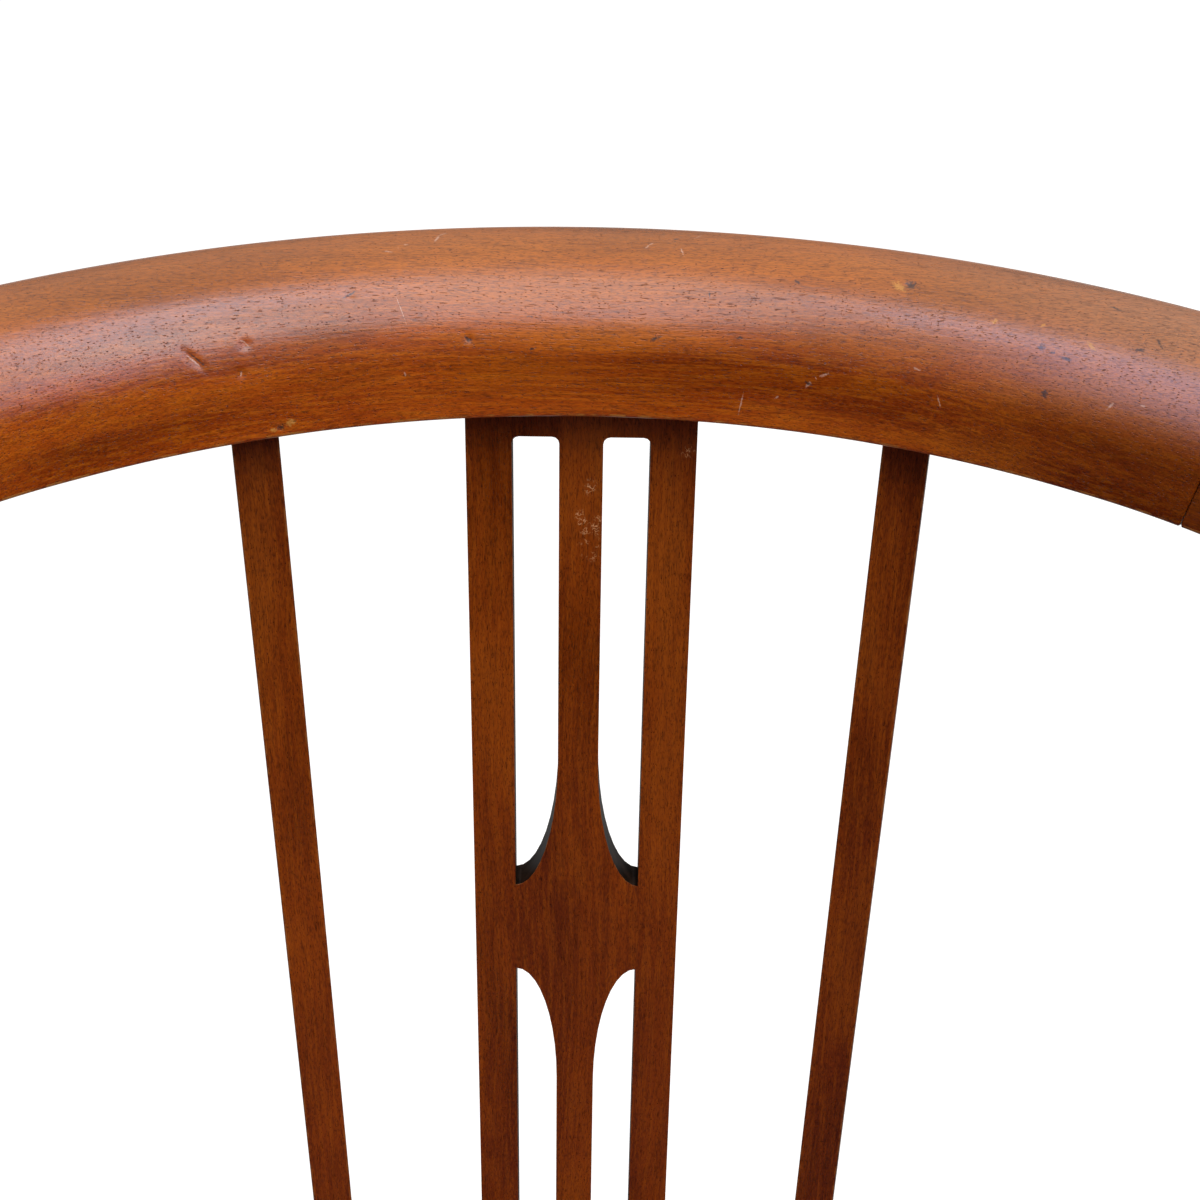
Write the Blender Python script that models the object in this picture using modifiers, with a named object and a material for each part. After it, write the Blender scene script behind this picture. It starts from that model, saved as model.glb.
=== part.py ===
# Arts and crafts tub armchair in mahogany: a horseshoe rail carried by pierced splats, square
# spindles and four leg posts, over a mortised seat frame that holds a drop-in upholstered seat.
# Metres, +Z up, the front faces -Y, and the origin is on the floor under the middle of the chair.

from math import ceil, cos, pi, radians, sin, sqrt, tan

import bmesh
import bpy
from mathutils import Matrix, Vector

# Clearance at every joint, and the height of the main levels
CLEAR = 0.0003
RAIL_UNDERSIDE = 0.750
SEAT_RAIL_TOP = 0.405

# Horseshoe rail: an arc round the back, then two straight arms that open towards the front
RAIL_INNER_RADIUS = 0.215
RAIL_WIDTH = 0.052
RAIL_HEIGHT = 0.041
RAIL_ARRIS = 0.0012
ARM_SPLAY = radians(4.0)
ARM_LENGTH = 0.265
ARM_NOSE = 0.024
RAIL_JOINT = radians(42.9)
RAIL_JOINT_RAKE = radians(12.3)
DOWEL_RADIUS = 0.0045
DOWEL_LENGTH = 0.060
DOWEL_SPACING = 0.022

# Uprights between the seat rail and the horseshoe rail, all leaning outwards
LEAN = radians(3.1)
UPRIGHT_SETBACK = 0.016
UPRIGHT_THICKNESS = 0.0095
UPRIGHT_TENON = 0.012
SPINDLE_WIDTH = 0.0125
SPINDLE_STATION = radians(21.7)
SPINDLE_TURN = radians(12.5)

# Pierced splat: two stiles and a centre bar that flares into a solid waist
SPLAT_WIDTH = 0.0635
SPLAT_SHOULDER = 0.006
STILE_WIDTH = 0.0127
BAR_WIDTH = 0.0121
SLOT_BAND = 0.0135
SLOT_CORNER = 0.0020
WAIST_BELOW_RAIL = 0.182
WAIST_HEIGHT = 0.033
FLARE_LENGTH = 0.046

# Legs: one square post each, from the floor through the seat frame to the rail
LEG_SIZE = 0.034
FOOT_SIZE = 0.025
POST_TOP_SIZE = 0.026
LEG_CHAMFER = 0.0012
POST_TENON_SIZE = 0.015
POST_TENON_LENGTH = 0.018
REAR_LEG_STATION = radians(60.0)
REAR_LEG_RAKE = 0.030
ARM_OVERHANG = 0.047

# Seat rails, rebated for the drop-in seat and tenoned into the legs
SEAT_RAIL_HEIGHT = 0.062
SEAT_RAIL_SETBACK = 0.002
REBATE_WALL = 0.006
REBATE_WIDTH = 0.014
REBATE_DEPTH = 0.016
TENON_THICKNESS = 0.012
TENON_SHOULDER = 0.011
TENON_STOP = 0.002
TENON_ROOT = 0.012

# Corner blocks behind the front rail, each held by two screws
BLOCK_LEG = 0.052
BLOCK_TIP = 0.008
BLOCK_HEIGHT = 0.028
BLOCK_DROP = 0.006
SCREW_RADIUS = 0.0021
SCREW_HEAD_RADIUS = 0.0042
SCREW_HEAD_DEPTH = 0.003
SCREW_BITE = 0.014
SCREW_PLACE = 0.034
SCREW_SINK = 0.003

# Stretchers: one each side, and one across
STRETCHER_LEVEL = 0.165
STRETCHER_WIDTH = 0.016
STRETCHER_HEIGHT = 0.024
STRETCHER_STOP = 0.004
CROSS_STRETCHER_HEIGHT = 0.018

# Drop-in seat
COVER_FIT = 0.0012
COVER_THICKNESS = 0.0016
COVER_CROWN = 0.034
COVER_FULLNESS = 2.4
COVER_ROLL = 0.002
COVER_TURN_UNDER = 0.014
STUFFING_INSET = 0.009
SEAT_FRAME_WIDTH = 0.045
SEAT_FRAME_THICKNESS = 0.020
LAP_START = radians(38.0)
LAP_END = radians(50.0)
WEB_WIDTH = 0.050
WEB_THICKNESS = 0.0016
WEB_COUNT = 3
WEB_TURN_IN = 0.012
HESSIAN_THICKNESS = 0.0008
HESSIAN_INSET = 0.008

# Facets
ARC_STEP = radians(5.0)
CROWN_STEPS = 14
ARRIS_STEPS = 2
NOSE_STEPS = 6
FLARE_STEPS = 10
CORNER_STEPS = 3
ROUND_SIDES = 12
CUSHION_SPACING = 0.034
CUSHION_RINGS = 8

# Sizes that follow from the ones above
RAIL_RADIUS = RAIL_INNER_RADIUS + RAIL_WIDTH / 2
RAIL_OUTER_RADIUS = RAIL_INNER_RADIUS + RAIL_WIDTH
ARC_END = pi / 2 - ARM_SPLAY
ARM_SHOULDER = ARC_END + (ARM_LENGTH - ARM_NOSE) / RAIL_RADIUS
LEAN_INSET = (RAIL_UNDERSIDE - SEAT_RAIL_TOP) * tan(LEAN)
UPRIGHT_RADIUS = RAIL_INNER_RADIUS + UPRIGHT_SETBACK + UPRIGHT_THICKNESS / 2
REBATE_RADIUS = UPRIGHT_RADIUS - UPRIGHT_THICKNESS / 2 - LEAN_INSET - REBATE_WALL
LEG_RADIUS = REBATE_RADIUS + LEG_SIZE / 2
SEAT_RAIL_OUTER = REBATE_RADIUS + LEG_SIZE - SEAT_RAIL_SETBACK
SEAT_RAIL_INNER = REBATE_RADIUS - REBATE_WIDTH
SEAT_RAIL_BASE = SEAT_RAIL_TOP - SEAT_RAIL_HEIGHT
SEAT_LEDGE = SEAT_RAIL_TOP - REBATE_DEPTH
TENON_LENGTH = LEG_SIZE / 2 - TENON_STOP
FRONT_LEG_STATION = ARC_END + (ARM_LENGTH - ARM_OVERHANG) / RAIL_RADIUS
SIDE_SPLAT_STATION = (REAR_LEG_STATION + FRONT_LEG_STATION) / 2
ARM_TIP_DEPTH = ARM_LENGTH * sin(ARC_END) - RAIL_RADIUS * cos(ARC_END)
CENTRE = Vector((0.0, (ARM_TIP_DEPTH - RAIL_OUTER_RADIUS) / 2, 0.0))
REACH = RAIL_OUTER_RADIUS + ARM_LENGTH

for old in list(bpy.data.objects):
    bpy.data.objects.remove(old, do_unlink=True)
parts = bpy.data.collections.new("arts_and_crafts_armchair")
cutters = bpy.data.collections.new("cutters")
bpy.context.scene.collection.children.link(parts)
bpy.context.scene.collection.children.link(cutters)


def material(name, colour, roughness, metallic=0.0):
    made = bpy.data.materials.new(name)
    made.use_nodes = True
    shader = made.node_tree.nodes["Principled BSDF"]
    shader.inputs["Base Color"].default_value = (*colour, 1.0)
    shader.inputs["Roughness"].default_value = roughness
    shader.inputs["Metallic"].default_value = metallic
    return made


RAIL_WOOD = material("mahogany_rail", (0.22, 0.085, 0.028), 0.32)
FRAME_WOOD = material("mahogany_frame", (0.12, 0.036, 0.010), 0.35)
PALE_WOOD = material("beech", (0.50, 0.34, 0.19), 0.6)
STEEL = material("screw_steel", (0.35, 0.34, 0.33), 0.4, 1.0)
WEBBING = material("jute_webbing", (0.42, 0.31, 0.19), 0.9)
HESSIAN = material("hessian", (0.40, 0.30, 0.18), 0.95)
HORSEHAIR = material("horsehair", (0.06, 0.045, 0.035), 0.95)
LEATHER = material("crimson_leather", (0.20, 0.012, 0.014), 0.45)

chair = bpy.data.objects.new("armchair", None)
drop_in_seat = bpy.data.objects.new("drop_in_seat", None)
parts.objects.link(chair)
parts.objects.link(drop_in_seat)
drop_in_seat.parent = chair
drop_in_seat.location = (0.0, 0.0, SEAT_LEDGE)


# Placing: a station is an angle round the back and, past the arc, a length along the arm
def outward(station):
    turn = max(-ARC_END, min(ARC_END, station))
    return Vector((sin(turn), cos(turn), 0.0))


def plan(station, radius, level=0.0):
    out = outward(station)
    along = max(0.0, abs(station) - ARC_END) * RAIL_RADIUS
    side = 1.0 if station > 0 else -1.0
    forward = Vector((out.y, -out.x, 0.0)) * side
    return CENTRE + out * radius + forward * along + Vector((0.0, 0.0, level))


def station_at(depth, radius):
    along = (CENTRE.y + radius * cos(ARC_END) - depth) / sin(ARC_END)
    return ARC_END + along / RAIL_RADIUS


def stations(start, end, step=ARC_STEP):
    marks = sorted({start, end, *(m for m in (-ARC_END, ARC_END) if start < m < end)})
    found = [start]
    for low, high in zip(marks, marks[1:]):
        curved = abs(low + high) / 2 < ARC_END
        count = max(1, ceil((high - low) / step - 1e-6)) if curved else 1
        found += [low + (high - low) * i / count for i in range(1, count + 1)]
    return found


def strip(start, end, inner, outer, step=ARC_STEP):
    run = stations(start, end, step)
    return [plan(s, outer).xy for s in run] + [plan(s, inner).xy for s in reversed(run)]


def leaning(station, turn, radius):
    # Columns of a frame whose Z follows the outward lean and meets the rail's underside at radius
    base = plan(station, radius - RAIL_UNDERSIDE * tan(LEAN))
    frame = Matrix.Rotation(-turn, 4, "Z")
    frame.col[2] = (*(outward(station) * tan(LEAN)).xy, 1.0, 0.0)
    frame.col[3] = (*base, 1.0)
    return frame


def upright_frame(station, turn):
    return leaning(station, turn, UPRIGHT_RADIUS)


# Making: meshes from outlines, sweeps, lofts and primitives
def weld(bm):
    bmesh.ops.remove_doubles(bm, verts=bm.verts, dist=1e-6)
    bmesh.ops.recalc_face_normals(bm, faces=bm.faces)
    return bm


def read_curve(curve, frame=Matrix()):
    holder = bpy.data.objects.new("outline", curve)
    parts.objects.link(holder)
    graph = bpy.context.evaluated_depsgraph_get()
    mesh = bpy.data.meshes.new_from_object(holder.evaluated_get(graph))
    bpy.data.objects.remove(holder)
    bm = bmesh.new()
    bm.from_mesh(mesh)
    bm.transform(frame)
    return weld(bm)


def add_spline(curve, points, closed):
    spline = curve.splines.new("POLY")
    spline.points.add(len(points) - 1)
    for spot, point in zip(spline.points, points):
        spot.co = (*point, 0.0, 1.0) if len(point) == 2 else (*point, 1.0)
    spline.use_cyclic_u = closed
    return spline


def plate(outlines, low, high, frame=Matrix()):
    curve = bpy.data.curves.new("outline", "CURVE")
    curve.dimensions = "2D"
    curve.fill_mode = "BOTH"
    curve.extrude = (high - low) / 2
    for outline in outlines:
        add_spline(curve, outline, True)
    return read_curve(curve, frame @ Matrix.Translation((0, 0, (low + high) / 2)))


def sweep(spine, sizes, section):
    profile = bpy.data.curves.new("section", "CURVE")
    profile.dimensions = "2D"
    add_spline(profile, section, True)
    holder = bpy.data.objects.new("section", profile)
    curve = bpy.data.curves.new("spine", "CURVE")
    curve.dimensions = "3D"
    curve.twist_mode = "Z_UP"
    curve.bevel_mode = "OBJECT"
    curve.bevel_object = holder
    curve.use_fill_caps = True
    spline = add_spline(curve, spine, False)
    for spot, size in zip(spline.points, sizes):
        spot.radius = size
    bm = read_curve(curve)
    bpy.data.objects.remove(holder)
    return bm


def loft(rings, open_base=False):
    bm = bmesh.new()
    lower = [bm.verts.new(point) for point in rings[0]]
    if not open_base:
        bm.faces.new(lower)
    for ring in rings[1:]:
        upper = [bm.verts.new(point) for point in ring]
        for i in range(len(ring)):
            j = (i + 1) % len(ring)
            bm.faces.new((lower[i], lower[j], upper[j], upper[i]))
        lower = upper
    bm.faces.new(lower)
    return weld(bm)


def box(bm, low, high, frame=Matrix()):
    low, high = Vector(low), Vector(high)
    size = Matrix.Diagonal((*(high - low), 1.0))
    bmesh.ops.create_cube(bm, size=1.0, matrix=frame @ Matrix.Translation((low + high) / 2) @ size)
    return bm


def rod(bm, start, end, radius, end_radius=None):
    way = end - start
    frame = Matrix.Translation((start + end) / 2) @ way.to_track_quat("Z", "Y").to_matrix().to_4x4()
    bmesh.ops.create_cone(
        bm, cap_ends=True, segments=ROUND_SIDES, depth=way.length, matrix=frame,
        radius1=radius, radius2=radius if end_radius is None else end_radius,
    )
    return bm


def put(name, bm, collection):
    mesh = bpy.data.meshes.new(name)
    bm.to_mesh(mesh)
    bm.free()
    made = bpy.data.objects.new(name, mesh)
    collection.objects.link(made)
    return made


def part(name, bm, look, smooth=False, parent=chair):
    made = put(name, bm, parts)
    made.data.materials.append(look)
    made.parent = parent
    made.matrix_parent_inverse = Matrix.Translation(-parent.location)
    if smooth:
        made.data.shade_smooth()
        made.data.set_sharp_from_angle(angle=radians(35.0))
    return made


def shape_with(target, name, bm, operation="DIFFERENCE"):
    tool = put(f"{target.name}_{name}", bm, cutters)
    tool.hide_render = True
    tool.display_type = "WIRE"
    step = target.modifiers.new(name, "BOOLEAN")
    step.object = tool
    step.operation = operation
    step.solver = "EXACT"


# Horseshoe rail in three pieces, butted and dowelled
def arc(centre, radius, start, end, steps):
    for i in range(steps + 1):
        angle = start + (end - start) * i / steps
        yield (centre[0] + radius * cos(angle), centre[1] + radius * sin(angle))


def rail_section():
    # A half round over short straight sides, with eased arrises along the flat underside
    half, base = RAIL_WIDTH / 2, -RAIL_HEIGHT / 2
    foot = (half - RAIL_ARRIS, base + RAIL_ARRIS)
    right = [*arc(foot, RAIL_ARRIS, -pi / 2, 0.0, ARRIS_STEPS)]
    crown = [*arc((0.0, RAIL_HEIGHT / 2 - half), half, 0.0, pi, CROWN_STEPS)]
    return right + crown + [(-x, z) for x, z in reversed(right)]


def rail_piece(name, run, nose_side=0):
    level = RAIL_UNDERSIDE + RAIL_HEIGHT / 2
    spine = [plan(s, RAIL_RADIUS, level) for s in run]
    sizes = [1.0] * len(spine)
    if nose_side:
        for i in range(1, NOSE_STEPS + 1):
            angle = pi / 2 * i / (NOSE_STEPS + 0.5)
            station = ARM_SHOULDER + ARM_NOSE * sin(angle) / RAIL_RADIUS
            spine.append(plan(nose_side * station, RAIL_RADIUS, level))
            sizes.append(cos(angle))
    return part(name, sweep(spine, sizes, rail_section()), RAIL_WOOD, smooth=True)


def seam_waste(side, keep):
    # Everything past the butt joint, which rakes towards the arm, on the side that the piece doesn't keep
    spot = plan(side * RAIL_JOINT, RAIL_RADIUS, RAIL_UNDERSIDE + RAIL_HEIGHT / 2)
    turn = Matrix.Rotation(-side * RAIL_JOINT, 4, "Z") @ Matrix.Rotation(side * RAIL_JOINT_RAKE, 4, "Y")
    along = sorted((-keep * CLEAR / 2, keep * RAIL_WIDTH))
    low, high = (along[0], -RAIL_WIDTH, -RAIL_HEIGHT), (along[1], RAIL_WIDTH, RAIL_HEIGHT)
    return box(bmesh.new(), low, high, Matrix.Translation(spot) @ turn)


OVERRUN = RAIL_JOINT + ARC_STEP
back_rail = rail_piece("back_rail", stations(-OVERRUN, OVERRUN))
arms = {}
for side, word in ((-1, "left"), (1, "right")):
    run = [side * s for s in stations(RAIL_JOINT - ARC_STEP, ARM_SHOULDER)]
    arms[side] = rail_piece(f"arm_{word}", run, nose_side=side)
    shape_with(back_rail, f"seam_{word}", seam_waste(side, side))
    shape_with(arms[side], "seam", seam_waste(side, -side))


def rail_dowel(bm, side, offset, radius, length):
    out = outward(side * RAIL_JOINT)
    along = Vector((out.y, -out.x, 0.0)) * length / 2
    middle = plan(side * RAIL_JOINT, RAIL_RADIUS + offset, RAIL_UNDERSIDE + RAIL_HEIGHT / 2)
    return rod(bm, middle - along, middle + along, radius)


for side, word in ((-1, "left"), (1, "right")):
    holes = {back_rail: bmesh.new(), arms[side]: bmesh.new()}
    for offset, place in ((-DOWEL_SPACING / 2, "inner"), (DOWEL_SPACING / 2, "outer")):
        dowel = rail_dowel(bmesh.new(), side, offset, DOWEL_RADIUS, DOWEL_LENGTH)
        part(f"rail_dowel_{word}_{place}", dowel, PALE_WOOD, smooth=True)
        for bm in holes.values():
            rail_dowel(bm, side, offset, DOWEL_RADIUS + CLEAR, DOWEL_LENGTH + 2 * CLEAR)
    for piece, bm in holes.items():
        shape_with(piece, f"dowel_holes_{word}", bm)


# Pierced splats, housed in the rail above and the seat rail below
def slot(flare_end, square_end, side):
    # A slot runs from its square end to a point beside the stile, where the bar flares to meet it
    near, far = BAR_WIDTH / 2, SPLAT_WIDTH / 2 - STILE_WIDTH
    way = 1.0 if square_end > flare_end else -1.0
    level = square_end - SLOT_CORNER * way
    points = [*arc((far - SLOT_CORNER, level), SLOT_CORNER, 0.0, way * pi / 2, CORNER_STEPS)]
    points += arc((near + SLOT_CORNER, level), SLOT_CORNER, way * pi / 2, way * pi, CORNER_STEPS)
    for i in range(FLARE_STEPS + 1):
        angle = pi / 2 * i / FLARE_STEPS
        across = far - (far - near) * cos(angle)
        points.append((across, flare_end + way * FLARE_LENGTH * (1 - sin(angle))))
    return [(x * side, z) for x, z in points]


def splat(name, station, turn):
    low, high = SEAT_RAIL_TOP + CLEAR, RAIL_UNDERSIDE - CLEAR
    half, neck = SPLAT_WIDTH / 2, SPLAT_WIDTH / 2 - SPLAT_SHOULDER
    right = [(neck, low - UPRIGHT_TENON), (neck, low), (half, low)]
    right += [(half, high), (neck, high), (neck, high + UPRIGHT_TENON)]
    outlines = [right + [(-x, z) for x, z in reversed(right)]]
    waist = RAIL_UNDERSIDE - WAIST_BELOW_RAIL
    for side in (-1, 1):
        outlines.append(slot(waist + WAIST_HEIGHT / 2, RAIL_UNDERSIDE - SLOT_BAND, side))
        outlines.append(slot(waist - WAIST_HEIGHT / 2, SEAT_RAIL_TOP + SLOT_BAND, side))
    upright = Matrix.Rotation(pi / 2, 4, "X")
    thick = UPRIGHT_THICKNESS / 2
    bm = plate(outlines, -thick, thick, upright_frame(station, turn) @ upright)
    return part(name, bm, FRAME_WOOD)


def spindle(name, station, turn):
    half, thick = SPINDLE_WIDTH / 2, UPRIGHT_THICKNESS / 2
    low, high = SEAT_RAIL_TOP - UPRIGHT_TENON, RAIL_UNDERSIDE + UPRIGHT_TENON
    bm = box(bmesh.new(), (-half, -thick, low), (half, thick, high), upright_frame(station, turn))
    return part(name, bm, FRAME_WOOD)


def housing(bm, width, station, turn, level, way):
    # A mortise that opens at a level and runs up or down from it, with clearance all round
    half, thick = width / 2 + CLEAR, UPRIGHT_THICKNESS / 2 + CLEAR
    ends = sorted((level - way * UPRIGHT_TENON, level + way * (UPRIGHT_TENON + 2 * CLEAR)))
    box(bm, (-half, -thick, ends[0]), (half, thick, ends[1]), upright_frame(station, turn))


SPLAT_NECK = SPLAT_WIDTH - 2 * SPLAT_SHOULDER
splat("back_splat", 0.0, 0.0)
back_places = [(SPLAT_NECK, 0.0, 0.0)]
side_places = {}
for side, word in ((-1, "left"), (1, "right")):
    spindle(f"back_spindle_{word}", side * SPINDLE_STATION, side * SPINDLE_TURN)
    splat(f"side_splat_{word}", side * SIDE_SPLAT_STATION, side * ARC_END)
    back_places.append((SPINDLE_WIDTH, side * SPINDLE_STATION, side * SPINDLE_TURN))
    side_places[side] = [(SPLAT_NECK, side * SIDE_SPLAT_STATION, side * ARC_END)]


def housings(places, level, way):
    bm = bmesh.new()
    for width, station, turn in places:
        housing(bm, width, station, turn, level, way)
    return bm


# Leg posts
def square(centre, size, turn):
    frame = Matrix.Translation(centre) @ Matrix.Rotation(-turn, 4, "Z")
    half = size / 2
    return [frame @ Vector((x * half, y * half, 0.0)) for x, y in ((-1, -1), (1, -1), (1, 1), (-1, 1))]


def leg_centre(station, level, rake):
    # The post leans with the uprights above the seat rail, and rakes outwards below it
    above = max(0.0, level - SEAT_RAIL_TOP) * tan(LEAN)
    below = max(0.0, SEAT_RAIL_BASE - level) / SEAT_RAIL_BASE * rake
    return plan(station, LEG_RADIUS + above + below, level)


def leg_frame(station, turn):
    return Matrix.Translation(plan(station, LEG_RADIUS)) @ Matrix.Rotation(-turn, 4, "Z")


def leg(name, station, turn, rake):
    shoulder = RAIL_UNDERSIDE - CLEAR
    levels = [
        (0.0, FOOT_SIZE), (SEAT_RAIL_BASE, LEG_SIZE), (SEAT_RAIL_TOP, LEG_SIZE),
        (shoulder, POST_TOP_SIZE), (shoulder, POST_TENON_SIZE),
        (shoulder + POST_TENON_LENGTH, POST_TENON_SIZE),
    ]
    rings = [square(leg_centre(station, level, rake), size, turn) for level, size in levels]
    bm = loft(rings)
    long_edge = bm.edges.layers.float.new("bevel_weight_edge")
    for edge in bm.edges:
        low, high = sorted(vert.co.z for vert in edge.verts)
        edge[long_edge] = 1.0 if low < high <= shoulder + CLEAR else 0.0
    made = part(name, bm, FRAME_WOOD)
    ease = made.modifiers.new("eased_edges", "BEVEL")
    ease.width = LEG_CHAMFER
    ease.segments = 1
    ease.limit_method = "WEIGHT"
    return made


def post_mortise(station, turn):
    low, high = RAIL_UNDERSIDE - POST_TENON_LENGTH, RAIL_UNDERSIDE + POST_TENON_LENGTH + CLEAR
    size = POST_TENON_SIZE + 2 * CLEAR
    slope = Vector((0.0, 0.0, 0.0))
    slope.xy = (outward(station) * tan(LEAN)).xy
    centre = leg_centre(station, RAIL_UNDERSIDE, 0.0)
    ends = [centre + slope * (level - RAIL_UNDERSIDE) for level in (low, high)]
    for end, level in zip(ends, (low, high)):
        end.z = level
    return loft([square(end, size, turn) for end in ends])


legs = {}
places = {}
for side, word in ((-1, "left"), (1, "right")):
    places["rear", side] = (side * REAR_LEG_STATION, side * REAR_LEG_STATION, REAR_LEG_RAKE)
    places["front", side] = (side * FRONT_LEG_STATION, side * pi / 2, 0.0)
    for end in ("rear", "front"):
        station, turn, rake = places[end, side]
        legs[end, side] = leg(f"{end}_leg_{word}", station, turn, rake)
        shape_with(arms[side], f"{end}_mortise", post_mortise(station, turn))
    shape_with(arms[side], "splat_mortise", housings(side_places[side], RAIL_UNDERSIDE, 1))
shape_with(back_rail, "upright_mortises", housings(back_places, RAIL_UNDERSIDE, 1))


# Seat rails, trimmed to the legs, rebated, mortised for the uprights and tenoned at both ends
def leg_notch(bm, end, side):
    station, turn, _ = places[end, side]
    half = LEG_SIZE / 2 + CLEAR
    frame = leg_frame(station, turn)
    box(bm, (-half, -REACH, 0.0), (half, REACH, RAIL_UNDERSIDE), frame)
    return bm


def tenon(end, side, way, grow=0.0):
    # A tenon in the leg's own frame: way is along its run (-1 back, 1 front) or 0 for straight in
    station, turn, _ = places[end, side]
    reach, face = LEG_SIZE / 2 - TENON_LENGTH - grow, LEG_SIZE / 2 + TENON_ROOT
    inner, outer = -TENON_STOP / 2 - grow, TENON_THICKNESS - TENON_STOP / 2 + grow
    low = SEAT_RAIL_BASE + TENON_SHOULDER - grow
    high = SEAT_LEDGE - TENON_STOP + grow
    across = (inner, outer)
    if way:
        along = sorted((way * side * reach, way * side * face))
        corners = (along[0], across[0], low), (along[1], across[1], high)
    else:
        across = sorted((side * inner, side * outer))
        corners = (across[0], -face, low), (across[1], -reach, high)
    return box(bmesh.new(), *corners, leg_frame(station, turn))


def seat_outline(inset, step=ARC_STEP):
    radius = REBATE_RADIUS - inset
    front = station_at(SEAT_FRONT + inset, radius)
    return [plan(s, radius).xy for s in stations(-front, front, step)]


FRONT_LEG_DEPTH = plan(FRONT_LEG_STATION, LEG_RADIUS).y
FRONT_RAIL_FACE = FRONT_LEG_DEPTH - LEG_SIZE / 2 + SEAT_RAIL_SETBACK
SEAT_FRONT = FRONT_LEG_DEPTH + LEG_SIZE / 2
FRONT_RAIL_BACK = SEAT_FRONT + REBATE_WIDTH
LEG_INNER_FACE = plan(FRONT_LEG_STATION, LEG_RADIUS).x - LEG_SIZE / 2 - CLEAR


def seat_rail(name, bm, ends, places_above):
    made = part(name, bm, FRAME_WOOD)
    pocket = plate([seat_outline(0.0)], SEAT_LEDGE, SEAT_RAIL_TOP + REBATE_DEPTH)
    shape_with(made, "rebate", pocket)
    for index, (end, side, way) in enumerate(ends):
        if way:
            shape_with(made, f"leg_{index}", leg_notch(bmesh.new(), end, side))
        shape_with(made, f"tenon_{index}", tenon(end, side, way), "UNION")
    if places_above:
        shape_with(made, "upright_mortises", housings(places_above, SEAT_RAIL_TOP, -1))
    return made


def rail_blank(start, end):
    outline = strip(start, end, SEAT_RAIL_INNER, SEAT_RAIL_OUTER)
    return plate([outline], SEAT_RAIL_BASE, SEAT_RAIL_TOP)


back_ends = [("rear", -1, -1), ("rear", 1, -1)]
seat_rail("seat_rail_back", rail_blank(-REAR_LEG_STATION, REAR_LEG_STATION), back_ends, back_places)
front_blank = box(
    bmesh.new(), (-LEG_INNER_FACE, FRONT_RAIL_FACE, SEAT_RAIL_BASE),
    (LEG_INNER_FACE, FRONT_RAIL_BACK, SEAT_RAIL_TOP),
)
seat_rails = {0: seat_rail("seat_rail_front", front_blank, [("front", -1, 0), ("front", 1, 0)], [])}
for side, word in ((-1, "left"), (1, "right")):
    run = sorted((side * REAR_LEG_STATION, side * FRONT_LEG_STATION))
    ends = [("rear", side, 1), ("front", side, -1)]
    made = seat_rail(f"seat_rail_{word}", rail_blank(*run), ends, side_places[side])
    front_rail = box(
        bmesh.new(), (-LEG_INNER_FACE - CLEAR, FRONT_RAIL_FACE, 0.0),
        (LEG_INNER_FACE + CLEAR, FRONT_RAIL_BACK + CLEAR, RAIL_UNDERSIDE),
    )
    shape_with(made, "front_rail_clearance", front_rail)
    seat_rails[side] = made
    shape_with(legs["rear", side], "back_mortise", tenon("rear", side, -1, CLEAR))
    shape_with(legs["rear", side], "side_mortise", tenon("rear", side, 1, CLEAR))
    shape_with(legs["front", side], "side_mortise", tenon("front", side, -1, CLEAR))
    shape_with(legs["front", side], "front_mortise", tenon("front", side, 0, CLEAR))


# Corner blocks in the front corners, each with one screw into either rail
def block_frame(side):
    # Origin in the corner: X runs along the front rail to the middle, Y along the side rail to the back
    radius = SEAT_RAIL_INNER - CLEAR
    station = station_at(FRONT_RAIL_BACK + CLEAR, radius)
    spot = plan(side * station, radius, SEAT_LEDGE - BLOCK_DROP - BLOCK_HEIGHT / 2)
    back = plan(side * ARC_END, radius) - plan(side * station, radius)
    frame = Matrix.Translation(spot)
    frame.col[0] = (-side, 0.0, 0.0, 0.0)
    frame.col[1] = (*back.normalized(), 0.0)
    return frame


def corner_block(name, frame):
    outline = [(0.0, 0.0), (BLOCK_LEG, 0.0), (BLOCK_LEG, BLOCK_TIP), (BLOCK_TIP, BLOCK_LEG)]
    outline.append((0.0, BLOCK_LEG))
    bm = plate([outline], -BLOCK_HEIGHT / 2, BLOCK_HEIGHT / 2, frame)
    return part(name, weld(bm), PALE_WOOD)


def screw(frame, swap, grow=0.0, sink=0.0):
    # A countersunk screw down to the rail, at SCREW_PLACE along it, from under the block's long face
    head = BLOCK_LEG + BLOCK_TIP - SCREW_PLACE - SCREW_SINK
    levels = [(head, SCREW_HEAD_RADIUS + grow), (head - SCREW_HEAD_DEPTH, SCREW_RADIUS + grow)]
    levels.append((-SCREW_BITE - grow, SCREW_RADIUS + grow))
    if sink:
        levels.insert(0, (head + sink, SCREW_HEAD_RADIUS + grow))
    rings = []
    for level, radius in levels:
        ring = []
        for i in range(ROUND_SIDES):
            angle = 2 * pi * i / ROUND_SIDES
            spot = (SCREW_PLACE + radius * cos(angle), level, radius * sin(angle))
            ring.append(frame @ Vector((spot[1], spot[0], spot[2]) if swap else spot))
        rings.append(ring)
    return loft(rings)


for side, word in ((-1, "left"), (1, "right")):
    frame = block_frame(side)
    block = corner_block(f"corner_block_{word}", frame)
    for swap, rail, place in ((False, seat_rails[0], "front"), (True, seat_rails[side], "side")):
        part(f"block_screw_{word}_{place}", screw(frame, swap), STEEL, smooth=True)
        shape_with(block, f"{place}_screw_hole", screw(frame, swap, CLEAR, BLOCK_LEG))
        shape_with(rail, f"{word}_screw_hole", screw(frame, swap, CLEAR))


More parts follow.
